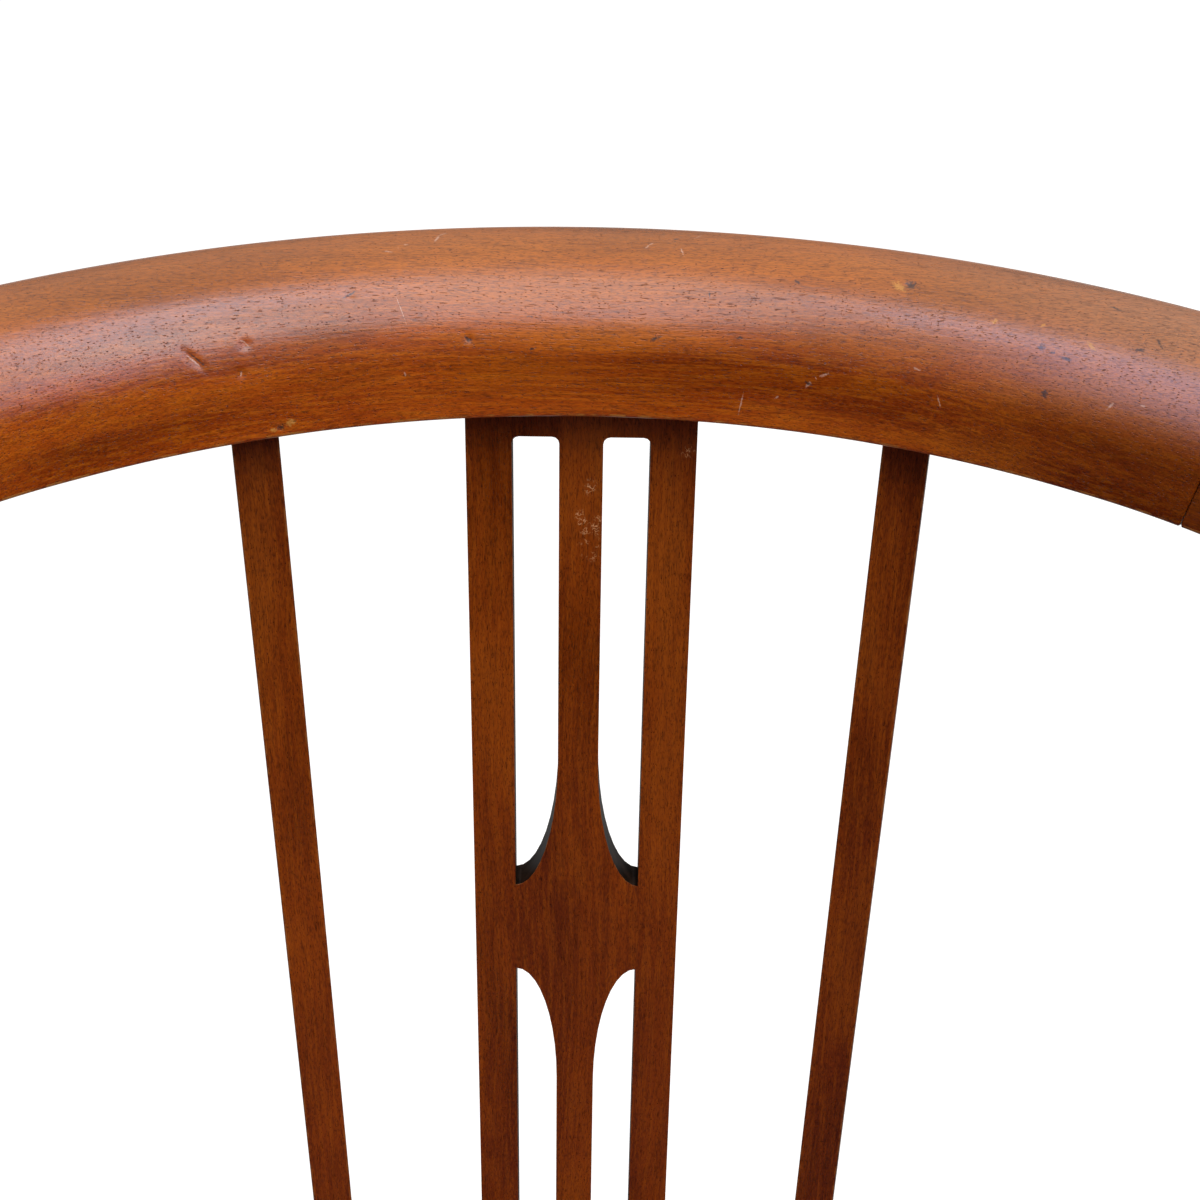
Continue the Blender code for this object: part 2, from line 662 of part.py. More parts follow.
# Stretchers, housed in the legs, and the cross stretcher housed in the side ones
def bar(start, end, height, grow=0.0):
    way = end - start
    frame = Matrix.Translation(start) @ way.to_track_quat("X", "Z").to_matrix().to_4x4()
    near, far = STRETCHER_STOP - grow, way.length - STRETCHER_STOP + grow
    wide, tall = STRETCHER_WIDTH / 2 + grow, height / 2 + grow
    return box(bmesh.new(), (near, -wide, -tall), (far, wide, tall), frame)


middles = {}
side_stretchers = {}
for side, word in ((-1, "left"), (1, "right")):
    ends = []
    for end in ("front", "rear"):
        station, _, rake = places[end, side]
        ends.append(leg_centre(station, STRETCHER_LEVEL, rake))
    made = part(f"stretcher_{word}", bar(*ends, STRETCHER_HEIGHT), FRAME_WOOD)
    for end in ("front", "rear"):
        shape_with(legs[end, side], "stretcher_mortise", bar(*ends, STRETCHER_HEIGHT, CLEAR))
    middles[side] = (ends[0] + ends[1]) / 2
    side_stretchers[side] = made
part("stretcher_cross", bar(middles[-1], middles[1], CROSS_STRETCHER_HEIGHT), FRAME_WOOD)
for made in side_stretchers.values():
    shape_with(made, "cross_mortise", bar(middles[-1], middles[1], CROSS_STRETCHER_HEIGHT, CLEAR))


# Drop-in seat frame: four beech rails, half lapped
FRAME_INSET = COVER_FIT + COVER_THICKNESS + CLEAR
FRAME_OUTER = REBATE_RADIUS - FRAME_INSET
FRAME_INNER = FRAME_OUTER - SEAT_FRAME_WIDTH
FRAME_FRONT = SEAT_FRONT + FRAME_INSET
COVER_LOW = SEAT_LEDGE + CLEAR
FRAME_LOW = COVER_LOW + COVER_THICKNESS + CLEAR
FRAME_HIGH = FRAME_LOW + SEAT_FRAME_THICKNESS
LAP_LOW = (FRAME_LOW + FRAME_HIGH - CLEAR) / 2
LAP_HIGH = LAP_LOW + CLEAR
LAP_GAP = CLEAR / FRAME_INNER


def seat_part(name, bm, look, smooth=False):
    return part(name, bm, look, smooth, drop_in_seat)


def half_width(depth, radius):
    if depth > CENTRE.y + radius * cos(ARC_END):
        return sqrt(radius ** 2 - (depth - CENTRE.y) ** 2)
    return plan(station_at(depth, radius), radius).x


def lap(start, end, upper):
    # Waste to be cut from the upper or the lower half of a frame rail
    spare = SEAT_FRAME_WIDTH / 2
    outline = strip(start, end, FRAME_INNER - spare, FRAME_OUTER + spare)
    low, high = (LAP_LOW, FRAME_HIGH + spare) if upper else (FRAME_LOW - spare, LAP_HIGH)
    return plate([outline], low, high)


def mirrored(outline, side):
    return [(x * side, y) for x, y in outline]


back_frame = plate([strip(-LAP_END, LAP_END, FRAME_INNER, FRAME_OUTER)], FRAME_LOW, FRAME_HIGH)
back_frame = seat_part("seat_frame_back", back_frame, PALE_WOOD)
BACK_OF_FRONT = FRAME_FRONT + SEAT_FRAME_WIDTH
corners = [(half_width(y, FRAME_OUTER), y) for y in (FRAME_FRONT, BACK_OF_FRONT)]
front_frame = plate([corners + mirrored(reversed(corners), -1)], FRAME_LOW, FRAME_HIGH)
front_frame = seat_part("seat_frame_front", front_frame, PALE_WOOD)
for side, word in ((-1, "left"), (1, "right")):
    outer = stations(LAP_START, station_at(FRAME_FRONT, FRAME_OUTER))
    inner = stations(LAP_START, station_at(FRAME_FRONT, FRAME_INNER))
    outline = [plan(side * s, FRAME_OUTER).xy for s in outer]
    outline += [plan(side * s, FRAME_INNER).xy for s in reversed(inner)]
    side_frame = seat_part(f"seat_frame_{word}", plate([outline], FRAME_LOW, FRAME_HIGH), PALE_WOOD)
    rear_lap = sorted((side * (LAP_START - 2 * LAP_GAP), side * (LAP_END + LAP_GAP)))
    shape_with(side_frame, "rear_lap", lap(*rear_lap, upper=False))
    front_waste = box(
        bmesh.new(), (-REACH, -REACH, SEAT_RAIL_BASE), (REACH, BACK_OF_FRONT + CLEAR, LAP_HIGH),
    )
    shape_with(side_frame, "front_lap", front_waste)
    rear_lap = sorted((side * (LAP_START - LAP_GAP), side * (LAP_END + 2 * LAP_GAP)))
    shape_with(back_frame, f"lap_{word}", lap(*rear_lap, upper=True))
    far, near = (station_at(y, FRAME_INNER) for y in (FRAME_FRONT - CLEAR, BACK_OF_FRONT + CLEAR))
    corner_waste = strip(near - 2 * LAP_GAP, far + ARM_OVERHANG, FRAME_INNER - CLEAR, REACH)
    corner_waste = plate([mirrored(corner_waste, side)], LAP_LOW, RAIL_UNDERSIDE)
    shape_with(front_frame, f"lap_{word}", corner_waste)

# Webbing stretched over the frame in two directions, and the hessian on it
SEAT_BACK = CENTRE.y + FRAME_OUTER
SEAT_MIDDLE = (FRAME_FRONT + SEAT_BACK) / 2
WEB_LEVEL = FRAME_HIGH + CLEAR
CROSS_WEB_LEVEL = WEB_LEVEL + WEB_THICKNESS + CLEAR
HESSIAN_LEVEL = CROSS_WEB_LEVEL + WEB_THICKNESS + CLEAR
STUFFING_LEVEL = HESSIAN_LEVEL + HESSIAN_THICKNESS + CLEAR
for i in range(WEB_COUNT):
    share = (i + 1) / (WEB_COUNT + 1)
    offset = (2 * share - 1) * FRAME_INNER
    edge = abs(offset) + WEB_WIDTH / 2
    back = CENTRE.y + sqrt(FRAME_OUTER ** 2 - edge ** 2) - WEB_TURN_IN
    low = (offset - WEB_WIDTH / 2, FRAME_FRONT + WEB_TURN_IN, WEB_LEVEL)
    high = (offset + WEB_WIDTH / 2, back, WEB_LEVEL + WEB_THICKNESS)
    seat_part(f"webbing_long_{i + 1}", box(bmesh.new(), low, high), WEBBING)
    depth = BACK_OF_FRONT + share * (SEAT_BACK - SEAT_FRAME_WIDTH - BACK_OF_FRONT)
    edges = (depth - WEB_WIDTH / 2, depth + WEB_WIDTH / 2)
    half = min(half_width(edge, FRAME_OUTER) for edge in edges) - WEB_TURN_IN
    low = (-half, edges[0], CROSS_WEB_LEVEL)
    high = (half, edges[1], CROSS_WEB_LEVEL + WEB_THICKNESS)
    seat_part(f"webbing_cross_{i + 1}", box(bmesh.new(), low, high), WEBBING)
hessian = plate([seat_outline(HESSIAN_INSET)], HESSIAN_LEVEL, HESSIAN_LEVEL + HESSIAN_THICKNESS)
seat_part("seat_hessian", hessian, HESSIAN)


# Stuffing and cover: domes over the seat's outline, drawn in at the sides
def spaced(outline):
    found = []
    for start, end in zip(outline, outline[1:] + outline[:1]):
        count = max(1, round((end - start).length / CUSHION_SPACING))
        found += [start.lerp(end, i / count) for i in range(count)]
    return found


def dome(inset, foot, shoulder, top, turn_under=0.0):
    outline = spaced(seat_outline(inset))
    middle = Vector((0.0, SEAT_MIDDLE))
    rings = [[(*point, foot) for point in outline]]
    if turn_under:
        reach = [(point - middle).length for point in outline]
        lip = [middle.lerp(p, 1 - turn_under / r) for p, r in zip(outline, reach)]
        rings.insert(0, [(*point, foot) for point in lip])
    for i in range(CUSHION_RINGS):
        angle = pi / 2 * i / CUSHION_RINGS
        spread = cos(angle) ** (2 / COVER_FULLNESS)
        level = shoulder + (top - shoulder) * sin(angle) ** (2 / COVER_FULLNESS)
        if level > foot + CLEAR:
            rings.append([(*middle.lerp(point, spread), level) for point in outline])
    return rings


COVER_TOP = FRAME_HIGH + COVER_CROWN
COVER_SHOULDER = FRAME_HIGH + COVER_ROLL
STUFFING_TOP = COVER_TOP - COVER_THICKNESS - 2 * CLEAR
stuffing = dome(STUFFING_INSET, STUFFING_LEVEL, COVER_SHOULDER, STUFFING_TOP)
seat_part("seat_stuffing", loft(stuffing), HORSEHAIR, smooth=True)
cover = dome(COVER_FIT, COVER_LOW, COVER_SHOULDER, COVER_TOP, COVER_TURN_UNDER)
cover = loft(cover, open_base=True)
cover = seat_part("seat_cover", cover, LEATHER, smooth=True)
skin = cover.modifiers.new("thickness", "SOLIDIFY")
skin.thickness = COVER_THICKNESS
skin.offset = -1.0
skin.use_even_offset = True
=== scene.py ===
from math import ceil, cos, pi, radians, sin

import bmesh
import bpy
import numpy as np
from mathutils import Matrix, Vector
from mathutils.bvhtree import BVHTree


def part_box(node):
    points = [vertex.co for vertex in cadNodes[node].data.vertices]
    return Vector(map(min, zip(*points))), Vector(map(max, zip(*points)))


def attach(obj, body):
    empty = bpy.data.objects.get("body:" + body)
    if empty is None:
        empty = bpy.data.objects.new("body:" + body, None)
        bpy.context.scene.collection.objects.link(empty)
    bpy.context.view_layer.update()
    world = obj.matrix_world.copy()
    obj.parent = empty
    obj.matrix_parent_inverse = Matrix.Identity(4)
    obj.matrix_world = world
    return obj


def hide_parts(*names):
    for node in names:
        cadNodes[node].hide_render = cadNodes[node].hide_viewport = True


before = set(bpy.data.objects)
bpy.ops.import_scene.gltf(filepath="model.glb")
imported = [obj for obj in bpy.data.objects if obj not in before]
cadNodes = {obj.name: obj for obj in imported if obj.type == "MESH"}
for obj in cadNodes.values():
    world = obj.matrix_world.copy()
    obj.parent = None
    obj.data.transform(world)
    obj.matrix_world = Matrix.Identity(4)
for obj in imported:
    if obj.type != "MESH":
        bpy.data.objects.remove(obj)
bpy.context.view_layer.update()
scene = bpy.context.scene
scene.view_settings.view_transform = "Standard"
print("frame loaded:", len(cadNodes), "nodes")


# Camera, worked out from the leaning spindles and the rail's arc in the photograph
cameraView = {
    "place": Vector((0.0030, -0.2439, 0.9726)),
    "yaw": radians(0.35),
    "pitch": radians(31.83),
    "roll": radians(0.95),
    "focalPixels": 1900.0,
    "imagePixels": 1200.0,
    "sensorWidth": 36.0,
    "clipStart": 0.01,
}


def addObject(name, data):
    holder = bpy.data.objects.new(name, data)
    scene.collection.objects.link(holder)
    return holder


def cameraAxes(view):
    yaw, pitch, roll = view["yaw"], view["pitch"], view["roll"]
    ahead = Vector((sin(yaw) * cos(pitch), cos(yaw) * cos(pitch), -sin(pitch)))
    level = Vector((cos(yaw), -sin(yaw), 0.0))
    down = ahead.cross(level)
    right = level * cos(roll) - down * sin(roll)
    up = -level * sin(roll) - down * cos(roll)
    return right, up, ahead


def addCamera(view):
    right, up, ahead = cameraAxes(view)
    camera = addObject("photo_camera", bpy.data.cameras.new("photo_camera"))
    turn = Matrix((right, up, -ahead)).transposed().to_4x4()
    camera.matrix_world = Matrix.Translation(view["place"]) @ turn
    camera.data.sensor_width = view["sensorWidth"]
    camera.data.lens = view["sensorWidth"] * view["focalPixels"] / view["imagePixels"]
    camera.data.clip_start = view["clipStart"]
    scene.camera = camera


def pixelRay(pixel):
    right, up, ahead = cameraAxes(cameraView)
    across, below = ((p - cameraView["imagePixels"] / 2) / cameraView["focalPixels"] for p in pixel)
    return (ahead + right * across - up * below).normalized()


def seenOn(mesh, pixels):
    # Where pixels of the photograph fall on a mesh: the places, and the way the surface faces there
    tree = BVHTree.FromPolygons([v.co for v in mesh.vertices], [p.vertices for p in mesh.polygons])
    return [tree.ray_cast(cameraView["place"], pixelRay(pixel))[:2] for pixel in pixels]


addCamera(cameraView)
print("camera placed")


# Small tools for meshes and pieces
def vertexPlaces(mesh):
    return np.array([v.co for v in mesh.vertices])


def carry(mesh, label, values):
    # Gives every vertex a number or a vector that finishes and node trees can read
    values = np.asarray(values, dtype=np.float32)
    kind, part = ("FLOAT", "value") if values.ndim == 1 else ("FLOAT_VECTOR", "vector")
    mesh.attributes.new(label, kind, "POINT").data.foreach_set(part, values.ravel())


def closeMesh(bm, name):
    mesh = bpy.data.meshes.new(name)
    bm.to_mesh(mesh)
    bm.free()
    return mesh


def asMesh(holder):
    graph = bpy.context.evaluated_depsgraph_get()
    mesh = bpy.data.meshes.new_from_object(holder.evaluated_get(graph), depsgraph=graph)
    bpy.data.objects.remove(holder)
    return mesh


def addPiece(name, mesh, body, replaced=()):
    piece = addObject(name, mesh)
    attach(piece, body)
    if replaced:
        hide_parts(*replaced)
    return piece


def smoothStep(share):
    return share * share * (3 - 2 * share)


# Small tools for node trees and finishes
millimetres = 1000.0                     # in a metre


def linear(hexColour):
    values = [int(hexColour[i:i + 2], 16) / 255 for i in (1, 3, 5)]
    values = [c / 12.92 if c <= 0.04045 else ((c + 0.055) / 1.055) ** 2.4 for c in values]
    return (*values, 1.0)


def fill(tree, node, values):
    # Sets inputs, or links them where the value is another node's output
    for name, value in values.items():
        if isinstance(value, bpy.types.NodeSocket):
            tree.links.new(value, node.inputs[name])
        else:
            node.inputs[name].default_value = value


def addNode(tree, kind, *values, out=None, named=None, **settings):
    # Values go to the inputs in use in their order, named ones by name, and one output comes back
    node = tree.nodes.new(kind if "Node" in kind else "ShaderNode" + kind)
    for name, value in settings.items():
        setattr(node, name, value)
    inUse = [i for i, socket in enumerate(node.inputs) if socket.enabled]
    fill(tree, node, {**dict(zip(inUse, values)), **(named or {})})
    if out:
        return node.outputs[out]
    return next((socket for socket in node.outputs if socket.enabled), None)


def startFinish(name):
    finish = bpy.data.materials.new(name)
    finish.use_nodes = True
    return finish, finish.node_tree, finish.node_tree.nodes["Principled BSDF"]


def painted(tree, colour, coats):
    # Lays coats of colour over one another, each as far as its share says
    for share, tone in coats:
        colour = addNode(tree, "Mix", share, colour, linear(tone), data_type="RGBA")
    return colour


def inMillimetres(tree):
    coords = addNode(tree, "TexCoord", out="Object")
    return addNode(tree, "VectorMath", coords, millimetres, operation="SCALE")


def woodNoise(tree, place, size, detail):
    spot = addNode(tree, "Mapping", place, named={"Scale": tuple(1 / s for s in size)})
    return addNode(tree, "TexNoise", spot, 1.0, detail)


def startTree(name, inputs):
    # A Geometry Nodes tree with named inputs; ids gives each input's identifier
    tree = bpy.data.node_groups.new(name, "GeometryNodeTree")
    tree.interface.new_socket("Geometry", in_out="INPUT", socket_type="NodeSocketGeometry")
    ids = {}
    for label, kind in inputs.items():
        ids[label] = tree.interface.new_socket(label, in_out="INPUT", socket_type=kind).identifier
    tree.interface.new_socket("Geometry", in_out="OUTPUT", socket_type="NodeSocketGeometry")
    return tree, ids, tree.nodes.new("NodeGroupInput").outputs


def endTree(tree, geometry, finish):
    real = addNode(tree, "GeometryNodeRealizeInstances", named={"Geometry": geometry})
    dressed = addNode(tree, "GeometryNodeSetMaterial", named={"Geometry": real, "Material": finish})
    addNode(tree, "NodeGroupOutput", named={"Geometry": dressed})


def runTree(tree, ids, mesh, values):
    holder = addObject(tree.name, mesh)
    modifier = holder.modifiers.new(tree.name, "NODES")
    modifier.node_group = tree
    for label, value in values.items():
        modifier[ids[label]] = value
    return asMesh(holder)


# Mahogany under old french polish: straight grained, with open pores that show as short dark dashes
# along the grain and as dots where a curve cuts across it, and a thin satin film that has worn unevenly
grainTurns = {
    "rail": (0.0, 0.0, 0.0),             # along the place that the rail's mesh carries
    "x": (0.0, 0.0, 0.0),
    "y": (0.0, 0.0, -pi / 2),
    "z": (0.0, pi / 2, 0.0),
}
# Sizes along and across the grain in mm, and each noise's detail
mahoganyFigure = {
    "cloud": ((80.0, 30.0, 20.0), 2.0),     # soft golden and dark clouds
    "stripe": ((260.0, 16.0, 9.0), 3.0),    # one growth stripe
    "fibre": ((34.0, 1.6, 0.9), 3.0),
    "thread": ((12.0, 0.40, 0.40), 2.0),    # thin dark and light lines
    "fleck": ((1.6, 0.28, 0.28), 2.0),      # short fibres, which show as fine dashes
}
mahoganyWear = {
    "wobble": ((7.0, 7.0, 7.0), 1.0),       # hollows left by hand polishing
    "bare": ((4.5, 4.5, 4.5), 4.0),         # patches where an arris has lost its polish
    "ragged": ((0.6, 0.5, 0.5), 3.0),       # torn edges of the marks
    "shadeAndGrimeEdge": ((9.0, 9.0, 3.0), 2.0),        # the painted shade's and grime's uneven lower edge under the rail
    "scratch": ((1.1, 1.1, 1.6), 2.0),
    "scratchBreak": ((2.4, 2.4, 2.4), 1.0),
}
mahoganyLook = {
    "drift": 110.0,                         # how far apart the grain's slow bends are, mm
    "driftReach": (2.0, 6.0, 6.0),
    "pore": ((1.4, 0.44, 0.44), 1.0),       # one short pore's share of the wood, mm, and how dark it gets
    "vessel": ((6.0, 0.48, 0.48), 0.75),    # one long pore's
    "poreDull": 0.85,                       # share of the gloss that a pore loses
    "poreRough": 0.22,
    "shadeAndGrimeEdgeReach": 1.6,
    "railShadeAndGrimeFade": 0.8,
    "raggedReach": 2.2,
    "rubCore": 0.4,
    "roughSpread": (-0.04, 0.05),
    "wornRough": 0.15,
    "wobbleRise": 0.6,
    "fleckRise": -0.3,
    "bumpDepth": 0.00012,
}
# What part of a noise or a direction shows, from none to all of it, then the least and the most of that
spans = {
    "stripe": (0.36, 0.64),
    "fibre": (0.44, 0.70),
    "cloud": (0.52, 0.72, 0.0, 0.55),
    "bleached": (0.15, 0.95),            # light has bleached what faces up
    "upward": (0.10, 0.75),
    "thread": (0.50, 0.72, 0.0, 0.40),
    "fleckPale": (0.48, 0.28, 0.0, 0.35),
    "fleckDark": (0.51, 0.68, 0.0, 0.50),
    "poreDepth": (0.10, 0.30, 1.0, 0.0),
    "poreChance": (0.15, 0.85),
    "cloudDim": (0.28, 0.60, 0.80, 1.12),
    "toneDim": (-1.0, 0.0, 0.4, 1.0),
    "rough": (0.3, 0.7),
    "bare": (0.47, 0.60),
    "stroke": (1.45, 2.05, 1.0, 0.0),
    "scratch": (0.045, 0.012),
    "scratchBreak": (0.5, 0.6),
}


def poreLayer(tree, place, size, most):
    cells = addNode(tree, "Mapping", place, named={"Scale": tuple(1 / s for s in size)})
    pores = addNode(tree, "TexVoronoi", cells, 1.0)
    depth = addNode(tree, "MapRange", pores, *spans["poreDepth"], interpolation_type="SMOOTHSTEP")
    chance = addNode(tree, "SeparateXYZ", pores.node.outputs["Color"])
    chance = addNode(tree, "MapRange", chance, *spans["poreChance"], 0.0, most)
    return addNode(tree, "Math", depth, chance, operation="MULTIPLY")


def strokeShare(tree, label, ragged):
    # A stroke is an ellipse in the across and along distances that the mesh carries; Z says where they hold
    field = addNode(tree, "Attribute", out="Vector", attribute_name=label)
    flat = addNode(tree, "VectorMath", field, (1.0, 1.0, 0.0), operation="MULTIPLY")
    away = addNode(tree, "VectorMath", flat, operation="LENGTH")
    edge = addNode(tree, "Math", ragged, mahoganyLook["raggedReach"], away, operation="MULTIPLY_ADD")
    inside = addNode(tree, "MapRange", edge, *spans["stroke"])
    held = addNode(tree, "SeparateXYZ", field, out="Z")
    return addNode(tree, "Math", inside, held, operation="MULTIPLY")


def rubShare(tree, place, rubs):
    # Fine crossing scratches inside a few rubbed places
    share = 0.0
    for middle, radius in rubs:
        away = addNode(tree, "VectorMath", place, tuple(middle * millimetres), operation="DISTANCE")
        near = addNode(tree, "MapRange", away, radius, mahoganyLook["rubCore"] * radius)
        share = addNode(tree, "Math", share, near, operation="MAXIMUM")
    lines = woodNoise(tree, place, *mahoganyWear["scratch"])
    lines = addNode(tree, "Math", lines, 0.5, operation="SUBTRACT")
    lines = addNode(tree, "Math", lines, operation="ABSOLUTE")
    breaks = woodNoise(tree, place, *mahoganyWear["scratchBreak"])
    for noise, span in ((lines, "scratch"), (breaks, "scratchBreak")):
        shown = addNode(tree, "MapRange", noise, *spans[span])
        share = addNode(tree, "Math", share, shown, operation="MULTIPLY")
    return share


def mahogany(name, grain, tones, polish, worn=0.0, marks=False, railShadeAndGrimeLevel=None, rubs=()):
    look = mahoganyLook
    finish, tree, shader = startFinish(name)
    place = inMillimetres(tree)
    carried = place
    if grain == "rail":
        carried = addNode(tree, "Attribute", out="Vector", attribute_name="grainPlace")
        carried = addNode(tree, "VectorMath", carried, millimetres, operation="SCALE")
    wood = addNode(tree, "Mapping", carried, named={"Rotation": grainTurns[grain]})
    bend = addNode(tree, "TexNoise", wood, 1 / look["drift"], 1.0, out="Color")
    drifted = addNode(tree, "VectorMath", bend, look["driftReach"], wood, operation="MULTIPLY_ADD")
    noise = {kind: woodNoise(tree, drifted, *settings) for kind, settings in mahoganyFigure.items()}
    tone, shade = (
        addNode(tree, "Attribute", out="Fac", attribute_name=label) for label in ("tone", "shade"))
    facing = addNode(tree, "SeparateXYZ", addNode(tree, "TexCoord", out="Normal"), out="Z")
    upward = addNode(tree, "MapRange", facing, *spans["upward"])
    pores = [poreLayer(tree, drifted, *look[kind]) for kind in ("pore", "vessel")]
    poreShare = addNode(tree, "Math", *pores, operation="MAXIMUM")

    shown = {
        kind: addNode(tree, "MapRange", noise[kind], *spans[kind]) for kind in ("stripe", "cloud", "thread")}
    for kind in ("fleckPale", "fleckDark"):
        shown[kind] = addNode(tree, "MapRange", noise["fleck"], *spans[kind])
    shown["fibre"] = addNode(tree, "MapRange", noise["fibre"], *spans["fibre"], 0.0, tones["lightShare"])
    shown["bleached"] = addNode(tree, "MapRange", facing, *spans["bleached"], 0.0, tones["bleach"])
    colour = painted(tree, linear(tones["dark"]), (
        (shown["stripe"], tones["mid"]),
        (shown["fibre"], tones["light"]),
        (shown["cloud"], tones["golden"]),
        (addNode(tree, "MapRange", tone), tones["golden"]),
        (shown["bleached"], tones["bleached"]),
        # Painted sheen: the rail's top greys where the painted shade share runs
        (addNode(tree, "Math", upward, shade, operation="MULTIPLY"), tones["paintedSheen"]),
        (shown["thread"], tones["pore"]),
        (shown["fleckPale"], tones["light"]),
        (shown["fleckDark"], tones["pore"]),
        (poreShare, tones["pore"])))
    # Painted shade: the rail's side faces darken by the painted shade share, the faces that look up much
    # less
    lowered = addNode(tree, "Math", 1.0, upward, operation="SUBTRACT")
    lowered = addNode(tree, "Math", shade, lowered, operation="MULTIPLY")
    dim = addNode(tree, "Math", 1.0, lowered, operation="SUBTRACT")
    for value, span in ((noise["cloud"], "cloudDim"), (tone, "toneDim")):
        share = addNode(tree, "MapRange", value, *spans[span])
        dim = addNode(tree, "Math", dim, share, operation="MULTIPLY")
    colour = addNode(tree, "VectorMath", colour, dim, operation="SCALE")

    coats = []
    if worn:
        patch = woodNoise(tree, wood, *mahoganyWear["bare"])
        coats.append((addNode(tree, "MapRange", patch, *spans["bare"], 0.0, worn), tones["bare"]))
    if rubs:
        coats.append((rubShare(tree, place, rubs), tones["scuff"]))
    if marks:
        ragged = woodNoise(tree, wood, *mahoganyWear["ragged"])
        for kind in ("bare", "scuff", "bruise"):
            share = strokeShare(tree, kind, ragged)
            share = addNode(tree, "Math", share, tones[kind + "Share"], operation="MULTIPLY")
            coats.append((share, tones[kind]))
    if railShadeAndGrimeLevel:
        # Painted shade of the horseshoe rail, with grime that no cloth reaches: the uprights darken right
        # under the rail
        shadeAndGrimeEdge = woodNoise(tree, place, *mahoganyWear["shadeAndGrimeEdge"])
        level = addNode(tree, "SeparateXYZ", place, out="Z")
        level = addNode(tree, "Math", shadeAndGrimeEdge, look["shadeAndGrimeEdgeReach"], level, operation="MULTIPLY_ADD")
        shadedAndGrimy = addNode(
            tree, "MapRange", level, railShadeAndGrimeLevel, railShadeAndGrimeLevel + look["railShadeAndGrimeFade"], 0.0, tones["railShadeAndGrimeShare"])
        coats.append((shadedAndGrimy, tones["railShadeAndGrime"]))

    smoothest, roughest = (polish["roughness"] + part for part in look["roughSpread"])
    rough = addNode(
        tree, "MapRange", noise["cloud"], *spans["rough"], smoothest, roughest + look["wornRough"] * worn)
    specular = polish["specular"]
    gloss = addNode(tree, "MapRange", poreShare, 0.0, 1.0, specular, specular * (1 - look["poreDull"]))
    height = woodNoise(tree, wood, *mahoganyWear["wobble"])
    height = addNode(tree, "Math", height, look["wobbleRise"], noise["fibre"], operation="MULTIPLY_ADD")
    height = addNode(tree, "Math", noise["fleck"], look["fleckRise"], height, operation="MULTIPLY_ADD")
    height = addNode(tree, "Math", height, poreShare, operation="SUBTRACT")
    fill(tree, shader, {
        "Base Color": painted(tree, colour, coats),
        "Roughness": addNode(tree, "Math", poreShare, look["poreRough"], rough, operation="MULTIPLY_ADD"),
        "Specular IOR Level": gloss,
        "Normal": addNode(tree, "Bump", named={
            "Height": height, "Distance": look["bumpDepth"], "Strength": polish["bump"]})})
    return finish


# Saw-cut walls of the splats' slots: near black as painted shade, with old polish and patches of dust, that
# hardly shine
slotLook = {
    "patch": ((3.0, 3.0, 6.0), 3.0),
    "patchSpan": (0.35, 0.65),
    "paintedShadeBlack": "#120A06",
    "dust": "#2C1E16",
    "roughness": 0.5,
    "specular": 0.06,
}


def slotShadeAndDust(name):
    look = slotLook
    finish, tree, shader = startFinish(name)
    patch = woodNoise(tree, inMillimetres(tree), *look["patch"])
    dusty = addNode(tree, "MapRange", patch, *look["patchSpan"])
    fill(tree, shader, {
        # Painted shade: near black in the slots, a little lighter where dust lies
        "Base Color": painted(tree, linear(look["paintedShadeBlack"]), [(dusty, look["dust"])]),
        "Roughness": look["roughness"], "Specular IOR Level": look["specular"]})
    return finish


railTones = {
    "dark": "#8C3202", "mid": "#B04802", "light": "#D06A0A", "lightShare": 0.75, "golden": "#C66706",
    # The greyed tone is a painted sheen, laid on the rail's top
    "pore": "#381402", "bleached": "#A6601E", "bleach": 0.75, "paintedSheen": "#B08468",
    "bare": "#CC8A3C", "bareShare": 0.85, "scuff": "#D2A288", "scuffShare": 0.75,
    "bruise": "#342826", "bruiseShare": 0.85,
}
frameTones = {
    "dark": "#6C2702", "mid": "#8F3C03", "light": "#AD540A", "lightShare": 0.5, "golden": "#984A06",
    "pore": "#260B02", "bleached": "#8A4A1A", "bleach": 0.4, "paintedSheen": "#96602E",
    "bare": "#A8672E", "scuff": "#DA9C6A", "railShadeAndGrime": "#2A1608", "railShadeAndGrimeShare": 0.12,
}
railPolish = {"roughness": 0.27, "specular": 0.53, "bump": 0.5}
framePolish = {"roughness": 0.30, "specular": 0.28, "bump": 0.7}
wornShares = {"rail": 0.7, "frame": 0.6}
# Rubbed places on the back splat: pixel of the photograph and radius in mm
splatRubs = {
    "barHigh": ((590, 487), 3.0),
    "barMiddle": ((590, 524), 5.5),
    "barLow": ((591, 549), 4.5),
    "barLeft": ((577, 516), 2.5),
    "stileTop": ((689, 452), 2.6),
}
# Painted shade under the rail, with grime: this pixel is where it ends
railShadeAndGrimeFoot = (672, 447)                   # pixel where the dark band under the rail ends

splatPixels = [railShadeAndGrimeFoot] + [pixel for pixel, radius in splatRubs.values()]
splatSpots = seenOn(cadNodes["back_splat"].data, splatPixels)
rubs = [(spot, radius) for (spot, facing), (pixel, radius) in zip(splatSpots[1:], splatRubs.values())]
railShadeAndGrimeLevel = splatSpots[0][0].z * millimetres - mahoganyLook["railShadeAndGrimeFade"]
woods = {}
woodGrain = {"rail": "rail", "arm": "rail", "upright": "z", "cross_rail": "x", "side_rail": "y"}
for kind, grain in woodGrain.items():
    coat = (railTones, railPolish) if grain == "rail" else (frameTones, framePolish)
    worn = wornShares["rail" if grain == "rail" else "frame"]
    upright = kind == "upright"
    level = railShadeAndGrimeLevel if upright else None
    woods[kind] = (
        mahogany(f"mahogany_{kind}_polished", grain, *coat, marks=kind == "rail", railShadeAndGrimeLevel=level,
                 rubs=rubs if upright else ()),
        mahogany(f"mahogany_{kind}_worn_arris", grain, *coat, worn=worn, railShadeAndGrimeLevel=level))
slotWall = slotShadeAndDust("mahogany_slot_wall")
print("mahogany mixed")


